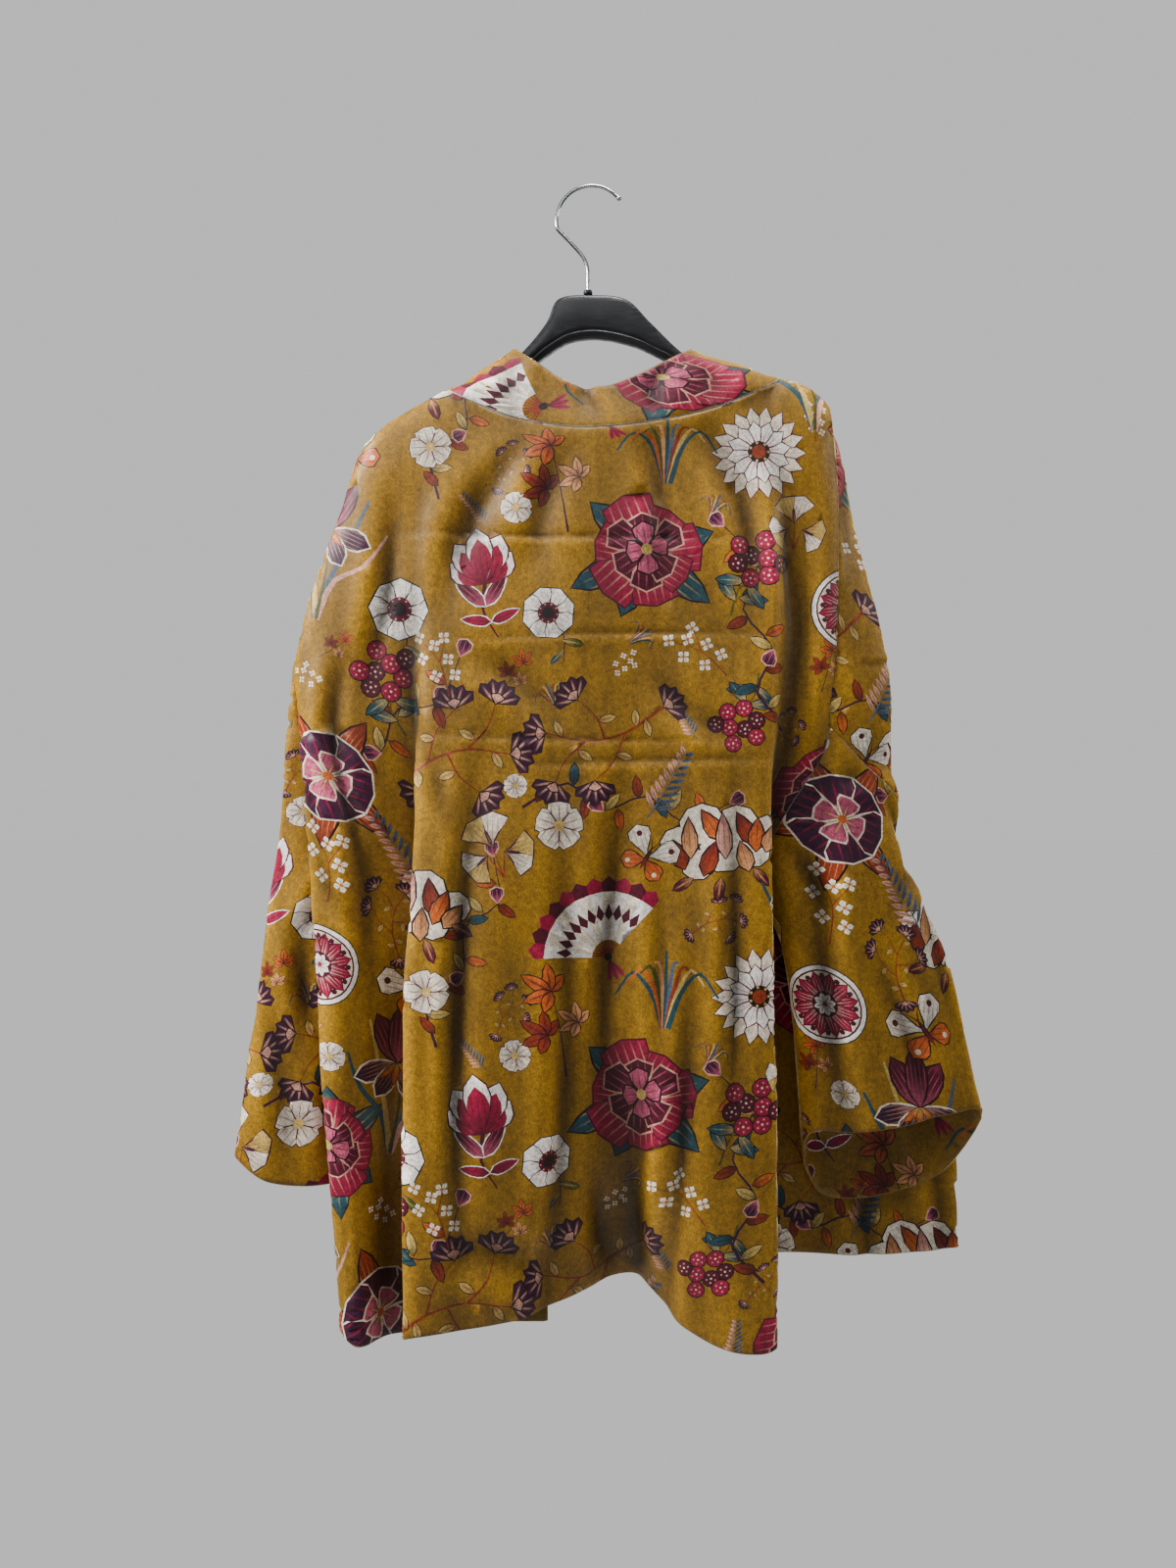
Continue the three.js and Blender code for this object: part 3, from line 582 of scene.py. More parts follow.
def blossom() -> Drawing:
    """Small five-petalled flower."""
    d = Drawing()
    d.whorl(ring_of(5, 18), 40, 36, Dye.CREAM, Dye.WINE, Dye.PLUM, 3, 0.68, 0.12)
    d.rays(ring_of(5, 54), 22, 3, Dye.WINE)
    d.disc(0, 0, 8, Dye.STRAW, 8)
    return d


def scallop_flower(d: Drawing, x: float, y: float, turn: float, size: float) -> None:
    """Add a half-round pleated flower on a short calyx."""
    for k in range(5):
        d.petal(x, y, turn - 56 + 28 * k, size, size * 0.46, Dye.PLUM, Dye.BLUSH, Dye.INK, 1, 0.78, 0, 3)
    d.petal(x, y, turn, size * 0.42, size * 0.5, Dye.BLUSH, Dye.WINE, Dye.INK, 4, 0.7, 0, 3)


def sprig() -> Drawing:
    """Arched twig with pleated flowers and small leaves."""
    d = Drawing()
    d.stem([(-48, -30), (-18, -6), (14, 4), (48, 0)], 2.8, Dye.RUST)
    d.stem([(-18, -6), (-10, 20), (4, 36)], 2, Dye.RUST)
    d.stem([(14, 4), (30, 22), (36, 40)], 2, Dye.RUST)
    d.stem([(-2, 1), (8, -18), (24, -30)], 2, Dye.RUST)
    for x, y, turn in ((4, 36, 100), (36, 40, 70), (48, 0, 10), (24, -30, -40), (-48, -30, 215)):
        scallop_flower(d, x, y, turn, 20)
    for x, y, turn in ((-34, -19, 110), (-27, -12, -80), (20, 12, 150), (5, -14, 200), (34, 2, -60), (-12, 12, 170)):
        d.petal(x, y, turn, 15, 6.5, Dye.STRAW, Dye.RUST, Dye.INK, 1, 0.5, 0, 3)
    return d


def berries() -> Drawing:
    """Cluster of dotted berries over dark leaves."""
    d = Drawing()
    d.stem([(0, -46), (-4, -18), (6, 8)], 2.6, Dye.OLIVE)
    for x, y, turn in ((-2, -30, 150), (0, -26, 20), (2, -10, -30), (-2, -8, 200)):
        d.petal(x, y, turn, 30, 11, Dye.TEAL, Dye.STRAW, Dye.INK, 2, 0.5)
    places = ((-16, 6), (2, -2), (18, 8), (-7, 20), (10, 24), (-22, 24), (26, 26), (0, 40))
    for k, (x, y) in enumerate(places):
        d.disc(x, y, 10.5, Dye.INK, 11)
        d.disc(x, y, 9.2, Dye.CRIMSON if k % 3 else Dye.WINE, 10)
        d.beads(ring_of(5, 15 * k), 5.2, 1.3, Dye.BLUSH, 4, x, y)
        d.disc(x, y, 1.5, Dye.CREAM, 4)
    return d


def fan() -> Drawing:
    """Open folding fan with a scalloped edge and a tassel knot."""
    d = Drawing()
    ribs = 11

    def at(radius: float, angle: float) -> Pair:
        """Place on a circle about the pivot."""
        return radius * math.cos(angle), radius * math.sin(angle) - 40

    for k in range(ribs):
        a, b = (math.radians(25 + 130 * (k + s) / ribs) for s in (0, 1))
        m = (a + b) / 2
        scallop = [at(70, a), at(75, m), at(70, b)]
        d.add([at(16, a), *scallop, at(16, b)], Dye.CREAM if k % 2 else Dye.WHITE)
        d.add([at(61, a), *scallop, at(61, b)], Dye.WINE if k % 2 else Dye.CRIMSON)
        d.add([at(40, a), at(50, m), at(40, b), at(34, m)], Dye.WINE)
        d.stem([(0, -40), at(16, m)], 2.4, Dye.RUST)
    d.disc(0, -40, 4, Dye.INK, 8)
    for turn in (250, 270, 290):
        d.petal(0, -42, turn, 22, 5, Dye.CRIMSON, Dye.INK, None, 1, 0.6, 0, 3)
    return d


def cloud() -> Drawing:
    """Craggy bank with a pale crest and streaks of warm colours that run down it."""
    d = Drawing()
    banks = ((-36, 6, 17), (-14, 18, 20), (14, 12, 19), (38, 2, 15), (0, -6, 22), (-24, -14, 15), (24, -14, 14))
    for grow, dye in ((0, Dye.INK), (-1.3, Dye.CREAM)):
        for x, y, radius in banks:
            d.disc(x, y, radius + grow, dye, 9, 0.9)
    streaks = ((-40, 10, 280, 26, 0), (-24, 26, 262, 34, 1), (-12, 30, 290, 30, 2), (4, 24, 262, 38, 3),
               (16, 22, 285, 30, 0), (32, 14, 255, 28, 2), (44, 4, 240, 22, 1), (-6, 2, 240, 30, 0),
               (14, -2, 275, 26, 1))
    dyes = (Dye.RUST, Dye.PEACH, Dye.ORANGE, Dye.BLUSH)
    for x, y, turn, length, dye in streaks:
        d.petal(x, y, turn, length, 13, dyes[dye], Dye.WINE, Dye.INK, 3, 0.6, 0, 3)
    for x, y, turn in ((-30, -24, 200), (-8, -28, 250), (20, -26, 300), (38, -12, 340)):
        d.petal(x, y, turn, 20, 8, Dye.WINE, Dye.PEACH, Dye.INK, 1, 0.5, 0, 3)
    return d


def maple() -> Drawing:
    """Seven-lobed leaves on a twig."""
    d = Drawing()
    d.stem([(-44, -36), (-10, -8), (22, 22)], 2.2, Dye.PLUM)
    for x, y, size, dye in ((-16, 6, 30, Dye.RUST), (24, 24, 34, Dye.ORANGE), (10, -18, 26, Dye.PEACH)):
        for k, reach in enumerate((0.62, 0.85, 1.0, 0.85, 0.62)):
            d.petal(x, y, 90 - 100 + 50 * k, size * reach, size * 0.36, dye, Dye.WINE, Dye.INK, 1, 0.45, 0, 3)
    return d


def ginkgo() -> Drawing:
    """Three fan-shaped leaves."""
    d = Drawing()
    for x, y, turn, size in ((0, 0, 95, 40), (-8, -6, 205, 32), (10, -8, -25, 34)):
        d.stem([(0, -34), (x, y)], 2, Dye.RUST)
        for side in (-24, 24):
            d.petal(x, y, turn + side, size, size * 0.8, Dye.STRAW if side > 0 else Dye.CREAM, Dye.RUST,
                    Dye.PLUM, 6, 0.78, 0.04)
    return d


def butterfly() -> Drawing:
    """Butterfly with four spotted wings."""
    d = Drawing()
    for side in (1, -1):
        d.petal(0, 2, 90 - side * 48, 46, 30, Dye.CREAM, Dye.SLATE, Dye.INK, 5, 0.7, 0.04)
        d.petal(0, -2, 90 - side * 118, 32, 24, Dye.ORANGE, Dye.WINE, Dye.INK, 4, 0.66)
        d.disc(side * 24, 24, 4, Dye.WINE, 8)
        d.disc(side * 20, -14, 3.4, Dye.CREAM, 7)
        d.stem([(0, 14), (side * 5, 24), (side * 12, 30)], 1.4, Dye.INK)
    d.petal(0, -18, 90, 36, 6, Dye.INK, Dye.RUST, None, 1, 0.5, 0, 3)
    return d


def grasses() -> Drawing:
    """Fountain of curved blades."""
    d = Drawing()
    dyes = (Dye.TEAL, Dye.ORANGE, Dye.OLIVE, Dye.PEACH, Dye.TEAL, Dye.SLATE, Dye.RUST, Dye.STRAW, Dye.TEAL)
    for k, dye in enumerate(dyes):
        lean = (k - 4) / 4
        d.stem([(lean * 3, -44), (lean * 16, -6), (lean * 34, 26 - 14 * abs(lean)), (lean * 52, 34 - 46 * abs(lean))],
               5.5, dye)
    return d


def fern() -> Drawing:
    """Feathered frond."""
    d = Drawing()
    d.stem([(0, -48), (3, 0), (-4, 46)], 2, Dye.SLATE)
    for k in range(9):
        y, reach = -36 + 9 * k, 24 - 1.6 * k
        for side in (1, -1):
            d.petal(2 - 0.05 * (k - 4) ** 2, y, 90 - side * 52, reach, 5.4, Dye.SLATE if side > 0 else Dye.BLUSH,
                    Dye.INK, None, 1, 0.5, 0, 3)
    return d


def temari() -> Drawing:
    """Thread ball: wound petals and rings in wine on white, with a tassel."""
    d = Drawing()
    d.disc(0, 0, 46, Dye.INK, 28)
    d.disc(0, 0, 44.6, Dye.WHITE, 28)
    d.disc(0, 0, 40, Dye.WINE, 26)
    d.disc(0, 0, 38, Dye.CREAM, 26)
    d.whorl(ring_of(12), 37, 14, Dye.CRIMSON, Dye.CREAM, Dye.WINE, 4, 0.6, 0, 3)
    d.beads(ring_of(12, 15), 33, 3.2, Dye.WINE, 6)
    d.disc(0, 0, 15, Dye.WINE, 14)
    d.whorl(ring_of(8), 13.5, 7, Dye.WHITE, Dye.WINE, None, 1, 0.6, 0, 3)
    d.disc(0, 0, 3, Dye.CRIMSON, 7)
    return d


def tulip() -> Drawing:
    """Big closed flower with white-tipped petals on jagged leaves."""
    d = Drawing()
    d.stem([(0, -8), (-6, -34), (4, -62)], 4, Dye.WINE)
    for side in (1, -1):
        d.petal(-3, -30, 90 - side * 40, 40, 13, Dye.WINE, Dye.ROSE, Dye.WHITE, 3, 0.4)
        d.petal(0, -46, 90 - side * 75, 30, 10, Dye.CRIMSON, Dye.WINE, Dye.WHITE, 2, 0.4)
    for turn, length in ((140, 40), (40, 40), (118, 50), (62, 50), (90, 56)):
        d.petal(0, -8, turn, length, 26, Dye.WHITE, Dye.ROSE, Dye.WINE, 4, 0.62)
        d.petal(0, -8, turn, length * 0.8, 22, Dye.CRIMSON, Dye.WINE, None, 4, 0.56)
    return d


def dots() -> Drawing:
    """Loose spray of tiny blossoms."""
    d = Drawing()
    d.stem([(-10, -40), (0, 0), (-8, 36)], 1.8, Dye.RUST)
    d.stem([(0, 0), (18, 20)], 1.4, Dye.RUST)
    for x, y in ((-8, 38), (18, 22), (4, 20), (-16, 14), (10, -2), (-12, -12), (8, -22)):
        for turn in ring_of(4, x):
            d.petal(x, y, turn, 8, 6, Dye.WHITE, Dye.STRAW, None, 1, 0.65, 0, 2)
        d.disc(x, y, 1.8, Dye.ORANGE, 5)
    return d


class Motif(Enum):
    """Motifs of the print, by the names of their drawing functions."""

    PEONY = "peony"
    CHRYSANTHEMUM = "chrysanthemum"
    ANEMONE = "anemone"
    CAMELLIA = "camellia"
    BLOSSOM = "blossom"
    SPRIG = "sprig"
    BERRIES = "berries"
    FAN = "fan"
    CLOUD = "cloud"
    MAPLE = "maple"
    GINKGO = "ginkgo"
    BUTTERFLY = "butterfly"
    GRASSES = "grasses"
    FERN = "fern"
    TEMARI = "temari"
    TULIP = "tulip"
    DOTS = "dots"
    LILY = "lily"
    VINE = "vine"


DRAWN: dict[Motif, Drawing] = {
    Motif(draw.__name__): draw()
    for draw in (peony, chrysanthemum, anemone, camellia, blossom, sprig, berries, fan, cloud, maple, ginkgo,
                 butterfly, grasses, fern, temari, tulip, dots, lily, vine)
}


@dataclass(frozen=True)
class Placed:
    """A motif on the yardage: its middle in the repeat, its size against the drawing, and its turn in degrees."""

    motif: Motif
    x: float
    y: float
    size: float
    turn: float = 0.0


@dataclass(frozen=True)
class Yardage:
    """The printed cloth: one repeat of motifs, width by height in millimetres, and small ones between them."""

    width: float = 560
    height: float = 500
    half_drop: float = 170
    seed: int = 11
    large: tuple[Placed, ...] = tuple(Placed(*row) for row in (
        (Motif.VINE, 215, 40, 1.0, 96),
        (Motif.VINE, 420, 275, 1.05, 28),
        (Motif.VINE, 90, 378, 0.95, -12),
        (Motif.VINE, 505, 75, 0.9, 60),
        (Motif.PEONY, 110, 110, 1.15, 0),
        (Motif.TEMARI, 305, 62, 0.82, 10),
        (Motif.CLOUD, 450, 120, 1.15, -8),
        (Motif.CHRYSANTHEMUM, 215, 205, 0.95, 0),
        (Motif.FAN, 60, 275, 1.0, 24),
        (Motif.CAMELLIA, 350, 235, 1.2, 15),
        (Motif.SPRIG, 490, 255, 1.15, 0),
        (Motif.CLOUD, 180, 345, 1.1, 12),
        (Motif.PEONY, 300, 395, 1.0, 70),
        (Motif.ANEMONE, 440, 390, 0.85, -12),
        (Motif.TULIP, 520, 420, 0.95, 10),
        (Motif.SPRIG, 70, 440, 1.1, 175),
        (Motif.BERRIES, 205, 90, 0.9, -25),
        (Motif.GRASSES, 130, 215, 0.9, 0),
        (Motif.FERN, 395, 165, 0.9, 25),
        (Motif.BERRIES, 425, 315, 0.95, 12),
        (Motif.LILY, 262, 300, 1.0, 4),
        (Motif.GINKGO, 530, 170, 0.85, 20),
        (Motif.BUTTERFLY, 395, 35, 0.85, 25),
        (Motif.MAPLE, 30, 180, 0.9, 60),
        (Motif.LILY, 372, 462, 1.1, -8),
        (Motif.FERN, 130, 400, 0.8, -30),
        (Motif.BLOSSOM, 30, 360, 0.62, 0),
        (Motif.BUTTERFLY, 110, 330, 0.7, -30),
        (Motif.BERRIES, 200, 465, 0.8, 160),
        (Motif.ANEMONE, 20, 55, 0.72, 10),
        (Motif.GINKGO, 250, 140, 0.7, 0),
        (Motif.DOTS, 330, 155, 0.9, 0),
        (Motif.BLOSSOM, 470, 40, 0.55, 20),
        (Motif.DOTS, 480, 340, 0.8, 30),
        (Motif.SPRIG, 380, 100, 0.6, 60),
        (Motif.DOTS, 160, 20, 0.8, 60),
    ))
    small: tuple[Motif, ...] = (Motif.BLOSSOM, Motif.DOTS, Motif.GRASSES, Motif.MAPLE, Motif.FERN, Motif.SPRIG)

    def repeat(self) -> list[Placed]:
        """One repeat: the large motifs over small ones set in the gaps between them."""
        draw = random.Random(self.seed)
        taken = [(p.x, p.y, 46 * p.size) for p in self.large]
        fill = []
        for k in range(900):
            x, y = draw.uniform(0, self.width), draw.uniform(0, self.height)
            size, turn = draw.uniform(0.3, 0.46), draw.uniform(-60, 60)
            reach = 38 * size
            far = all(self.apart(x, y, ox, oy) > reach + other for ox, oy, other in taken)
            if far and len(fill) < 18:
                taken.append((x, y, reach))
                fill.append(Placed(self.small[len(fill) % len(self.small)], x, y, size, turn))
        return [*fill, *self.large]

    def apart(self, x: float, y: float, other_x: float, other_y: float) -> float:
        """Distance of two places on the repeating cloth."""
        dx = (x - other_x + self.width / 2) % self.width - self.width / 2
        dy = (y - other_y + self.height / 2) % self.height - self.height / 2
        return math.hypot(dx, dy)

    @staticmethod
    def reached(low: float, high: float, step: float) -> range:
        """Numbers of the repeats that reach a stretch, with one more on each side."""
        return range(math.floor(low / step) - 1, math.ceil(high / step) + 1)

    def over(self, low: Points, high: Points, shift: Pair) -> list[Patch]:
        """Patches of the print over a box of the pattern.

        Args:
            low: The box's lowest corner, in millimetres.
            high: Its highest corner.
            shift: Place of the repeat's corner on this piece.

        Returns:
            Patches in drawing order.
        """
        patches = []
        columns = self.reached(low[0] - shift[0], high[0] - shift[0], self.width)
        for column in columns:
            drop = shift[1] + self.half_drop * (column % 2)
            for row in self.reached(low[1] - drop, high[1] - drop, self.height):
                for placed in self.repeat():
                    x, y = placed.x + column * self.width + shift[0], placed.y + row * self.height + drop
                    reach = 80 * placed.size
                    if low[0] - reach < x < high[0] + reach and low[1] - reach < y < high[1] + reach:
                        patches += stamped(placed, x, y)
        return patches


def stamped(placed: Placed, x: float, y: float) -> list[Patch]:
    """A motif's patches, turned, sized and set down at a place."""
    angle = math.radians(placed.turn)
    turn = placed.size * np.array([[math.cos(angle), math.sin(angle)], [-math.sin(angle), math.cos(angle)]])
    place = np.array([x, y])
    return [
        Patch(patch.outline @ turn + place, patch.dye, patch.line, patch.stripes,
              tuple(np.array(patch.at) @ turn + place), tuple(np.array(patch.along) @ turn),
              patch.half * placed.size)
        for patch in DRAWN[placed.motif].patches
    ]


# ---- creases


CREASE_GAIN = 1.9  # height of a crease against its stated depth
RIDGE_HEIGHT = 0.75  # height, place and width of the ridge against its trough
RIDGE_PLACE = 1.7
RIDGE_WIDTH = 1.1
CREASE_RUN_OUT = 0.15  # share of its length over which a crease fades past each end


@dataclass(frozen=True)
class Crease:
    """A soft trough with a ridge beside it, in the pattern's millimetres; a negative depth makes it a ridge."""

    x0: float
    y0: float
    x1: float
    y1: float
    width: float
    depth: float
    bend: float = 0.0

    def places(self) -> Points:
        """Flat points that follow the crease closely."""
        dx, dy = self.x1 - self.x0, self.y1 - self.y0
        length = math.hypot(dx, dy)
        steps = np.linspace(0, 1, int(length / 9) + 2)
        rows = []
        for side in (-1.5, -0.7, 0, 0.8, 1.7, 2.7):
            off = side * self.width + self.bend * 4 * steps * (1 - steps)
            x, y = self.x0 + dx * steps - dy / length * off, self.y0 + dy * steps + dx / length * off
            rows.append(np.stack([x, y], 1))
        return np.concatenate(rows)

    def lift(self, x: Points, y: Points) -> Points:
        """Height of the cloth over its smooth form.

        Args:
            x: Flat places across, in millimetres.
            y: Flat places down.

        Returns:
            One height for each place.
        """
        dx, dy = self.x1 - self.x0, self.y1 - self.y0
        length = math.hypot(dx, dy)
        along = ((x - self.x0) * dx + (y - self.y0) * dy) / length**2
        across = ((y - self.y0) * dx - (x - self.x0) * dy) / length
        inside = np.clip(along, 0, 1)
        across = across - self.bend * 4 * inside * (1 - inside)
        fade = np.sin(math.pi * np.clip((along + CREASE_RUN_OUT) / (1 + 2 * CREASE_RUN_OUT), 0, 1)) ** 1.3
        trough = np.exp(-((across / self.width) ** 2))
        ridge = np.exp(-(((across - RIDGE_PLACE * self.width) / (RIDGE_WIDTH * self.width)) ** 2))
        return CREASE_GAIN * self.depth * fade * (RIDGE_HEIGHT * ridge - trough)


def creases(*rows: tuple[float, ...]) -> tuple[Crease, ...]:
    """Creases from rows of start, end, width, depth and bend."""
    return tuple(Crease(*row) for row in rows)


def undulation(x: Points, y: Points, size: float, phase: float) -> Points:
    """Gentle unevenness of hanging cloth, mostly up and down waves."""
    waves = (
        (0.041, 0.006, 0.0, 0.45), (0.067, -0.011, 1.3, 0.3), (0.023, 0.031, 2.1, 0.35), (0.094, 0.017, 4.0, 0.16),
        (0.015, -0.052, 5.2, 0.22), (0.13, -0.021, 0.7, 0.09),
    )
    return size * sum(a * np.sin(kx * x + ky * y + start + phase) for kx, ky, start, a in waves)


# ---- cloth shells


@dataclass
class Pattern:
    """A piece's flat pattern over its hung surface.

    across and down are each grid point's flat place. sewn names the sewn edges of the grid: top, left, right.
    """

    grid: Points
    across: Points
    down: Points
    sewn: tuple[str, ...] = ()
    pitch: float = 3.0
    margin: float = 12.0

    def outline(self) -> tuple[Points, Points, Points]:
        """Edge of the pattern, once round: flat places, hung places, and whether each point is sewn."""
        rows, columns = self.across.shape
        top = [(0, c) for c in range(columns)]
        right = [(r, columns - 1) for r in range(1, rows)]
        bottom = [(rows - 1, c) for c in range(columns - 2, -1, -1)]
        left = [(r, 0) for r in range(rows - 2, 0, -1)]
        order = top + right + bottom + left
        r, c = np.array(order).T
        names = ["top"] * len(top) + ["right"] * len(right) + ["bottom"] * len(bottom) + ["left"] * len(left)
        held = np.array([name in self.sewn for name in names])
        return np.stack([self.across[r, c], self.down[r, c]], 1), self.grid[r, c], held

    def lattice(self) -> tuple[Points, Points, Points]:
        """Hung places on an even lattice of the flat pattern, a little past its edges.

        Returns:
            Places across, places down, and the points by place down and across.
        """
        flat = np.stack([self.across, self.down], axis=2)
        origin = flat.reshape(-1, 2).min(0) - self.margin
        count = ((flat.reshape(-1, 2).max(0) + self.margin - origin) / self.pitch).astype(int) + 2
        corner = np.arange(flat.shape[0] * flat.shape[1]).reshape(flat.shape[:2])
        a, b = corner[:-1, :-1].ravel(), corner[:-1, 1:].ravel()
        c, d = corner[1:, 1:].ravel(), corner[1:, :-1].ravel()
        triangles = np.concatenate([np.stack([a, b, c], 1), np.stack([a, c, d], 1)])
        places = (flat.reshape(-1, 2)[triangles] - origin) / self.pitch
        hung = self.grid.reshape(-1, 3)[triangles]
        points, known = np.zeros((count[1], count[0], 3)), np.zeros((count[1], count[0]), bool)
        first = np.ceil(places.min(1)).astype(int)
        span = int((np.floor(places.max(1)).astype(int) - first).max())
        one, two = places[:, 1] - places[:, 0], places[:, 2] - places[:, 0]
        size = one[:, 0] * two[:, 1] - one[:, 1] * two[:, 0]
        size = np.where(np.abs(size) < 1e-9, np.inf, size)
        for i in range(span + 1):
            for j in range(span + 1):
                node = first + [i, j]
                off = node - places[:, 0]
                u = (off[:, 0] * two[:, 1] - off[:, 1] * two[:, 0]) / size
                v = (one[:, 0] * off[:, 1] - one[:, 1] * off[:, 0]) / size
                hit = (u > -1e-4) & (v > -1e-4) & (u + v < 1.0001) & np.isfinite(size)
                u, v, at = u[hit, None], v[hit, None], node[hit]
                points[at[:, 1], at[:, 0]] = hung[hit, 0] * (1 - u - v) + hung[hit, 1] * u + hung[hit, 2] * v
                known[at[:, 1], at[:, 0]] = True
        for _ in range(int(self.margin / self.pitch) + 1):
            points, known = carried_on(points, known)
        return origin[0] + self.pitch * np.arange(count[0]), origin[1] + self.pitch * np.arange(count[1]), points


def carried_on(points: Points, known: Points) -> tuple[Points, Points]:
    """A lattice with one more ring of nodes carried straight on from the known ones."""
    total, weight = np.zeros_like(points), np.zeros(known.shape)
    wide, seen = np.pad(points, ((2, 2), (2, 2), (0, 0))), np.pad(known, 2)
    rows, columns = known.shape
    for i in (-1, 0, 1):
        for j in (-1, 0, 1):
            if i or j:
                near = (slice(2 + i, 2 + i + rows), slice(2 + j, 2 + j + columns))
                far = (slice(2 + 2 * i, 2 + 2 * i + rows), slice(2 + 2 * j, 2 + 2 * j + columns))
                both = seen[near] & seen[far] & ~known
                total[both] += (1.95 * wide[near] - 0.95 * wide[far])[both]
                weight[both] += 1
    new = weight > 0
    points = points.copy()
    points[new] = total[new] / weight[new][:, None]
    return points, known | new


def look_up(table: Points, x: Points, y: Points, origin: Pair, pitch: float) -> Points:
    """Values of a lattice at flat places, evenly blended between its nodes.

    Args:
        table: Values by place down and across.
        x: Flat places across.
        y: Flat places down.
        origin: The lattice's first place.
        pitch: Distance between its nodes.

    Returns:
        One value for each place.
    """
    u = np.clip((x - origin[0]) / pitch, 0, table.shape[1] - 1.001)
    v = np.clip((y - origin[1]) / pitch, 0, table.shape[0] - 1.001)
    i, j = u.astype(int), v.astype(int)
    fu, fv = (u - i)[:, None], (v - j)[:, None]
    return ((table[j, i] * (1 - fu) + table[j, i + 1] * fu) * (1 - fv)
            + (table[j + 1, i] * (1 - fu) + table[j + 1, i + 1] * fu) * fv)


def refined(grid: Points, rows: int, columns: int, tube: bool) -> Points:
    """A finer grid on the smooth surface through the given one."""
    steps = np.linspace(0, len(grid) - 1, (len(grid) - 1) * rows + 1)
    finer = curve_at(grid, steps).transpose(1, 0, 2)
    cells = len(finer) if tube else len(finer) - 1
    steps = np.linspace(0, cells, cells * columns + 1)[: -1 if tube else None]
    return curve_at(finer, steps, tube).transpose(1, 0, 2)


def inside(points: Points, outline: Points) -> Points:
    """Whether each point lies inside a closed outline."""
    a, b = outline, np.roll(outline, -1, axis=0)
    x, y = points[:, :1], points[:, 1:]
    crosses = (a[:, 1] > y) != (b[:, 1] > y)
    rise = np.where(b[:, 1] == a[:, 1], 1e-9, b[:, 1] - a[:, 1])
    at = a[:, 0] + (y - a[:, 1]) / rise * (b[:, 0] - a[:, 0])
    return (np.sum(crosses & (x < at), axis=1) % 2).astype(bool)


class Cutting:
    """Cuts a flat pattern into triangles along the print's edges."""

    def __init__(self, edge: Points, patches: list[Patch], spacing: Pair,
                 extra: Points | None = None) -> None:
        """Triangulate.

        Args:
            edge: Closed outline of the pattern.
            patches: The print over it.
            spacing: Distance of the plain points in between, across and down.
            extra: Further plain points.
        """
        low, high = edge.min(0), edge.max(0)
        columns, rows = (int((high[k] - low[k]) / spacing[k]) + 1 for k in (0, 1))
        x, y = np.meshgrid(low[0] + spacing[0] * np.arange(columns), low[1] + spacing[1] * np.arange(rows))
        grid = np.stack([x.ravel(), y.ravel()], 1)
        if extra is not None:
            grid = np.concatenate([grid, extra])
        grid = grid[inside(grid, edge)]
        near = [patch for patch in patches if touches(patch.outline, low, high)]
        points, edges = [edge, grid], [ring_edges(0, len(edge))]
        count = len(edge) + len(grid)
        for patch in near:
            points.append(patch.outline)
            edges.append(ring_edges(count, len(patch.outline)))
            count += len(patch.outline)
        flat = np.concatenate(points)
        found = delaunay_2d_cdt([Vector(p) for p in flat], np.concatenate(edges).tolist(), [], 0, 1e-3, False)
        self.points = np.array([tuple(p) for p in found[0]])
        faces = np.array([f for f in found[2] if len(f) == 3])
        middles = self.points[faces].mean(1)
        kept = inside_many(middles, edge)
        self.faces, middles = faces[kept], middles[kept]
        self.top = np.full(len(self.faces), -1)
        self.patches = near
        self.paint(middles)

    def paint(self, middles: Points) -> None:
        """Give each triangle the topmost patch over its middle."""
        order = np.argsort(middles[:, 0])
        xs = middles[order, 0]
        for number, patch in enumerate(self.patches):
            low, high = patch.outline.min(0), patch.outline.max(0)
            near = order[np.searchsorted(xs, low[0]):np.searchsorted(xs, high[0])]
            near = near[(middles[near, 1] > low[1]) & (middles[near, 1] < high[1])]
            if len(near):
                self.top[near[inside(middles[near], patch.outline)]] = number


def touches(outline: Points, low: Points, high: Points) -> bool:
    """Whether an outline's box meets another box."""
    return bool(np.all(outline.min(0) < high) and np.all(outline.max(0) > low))


def ring_edges(start: int, count: int) -> Points:
    """Edges of a closed ring of points."""
    first = np.arange(count)
    return start + np.stack([first, (first + 1) % count], 1)


def inside_many(points: Points, outline: Points) -> Points:
    """inside, in blocks that keep memory small."""
    return np.concatenate([inside(block, outline) for block in np.array_split(points, max(1, len(points) // 4000))])


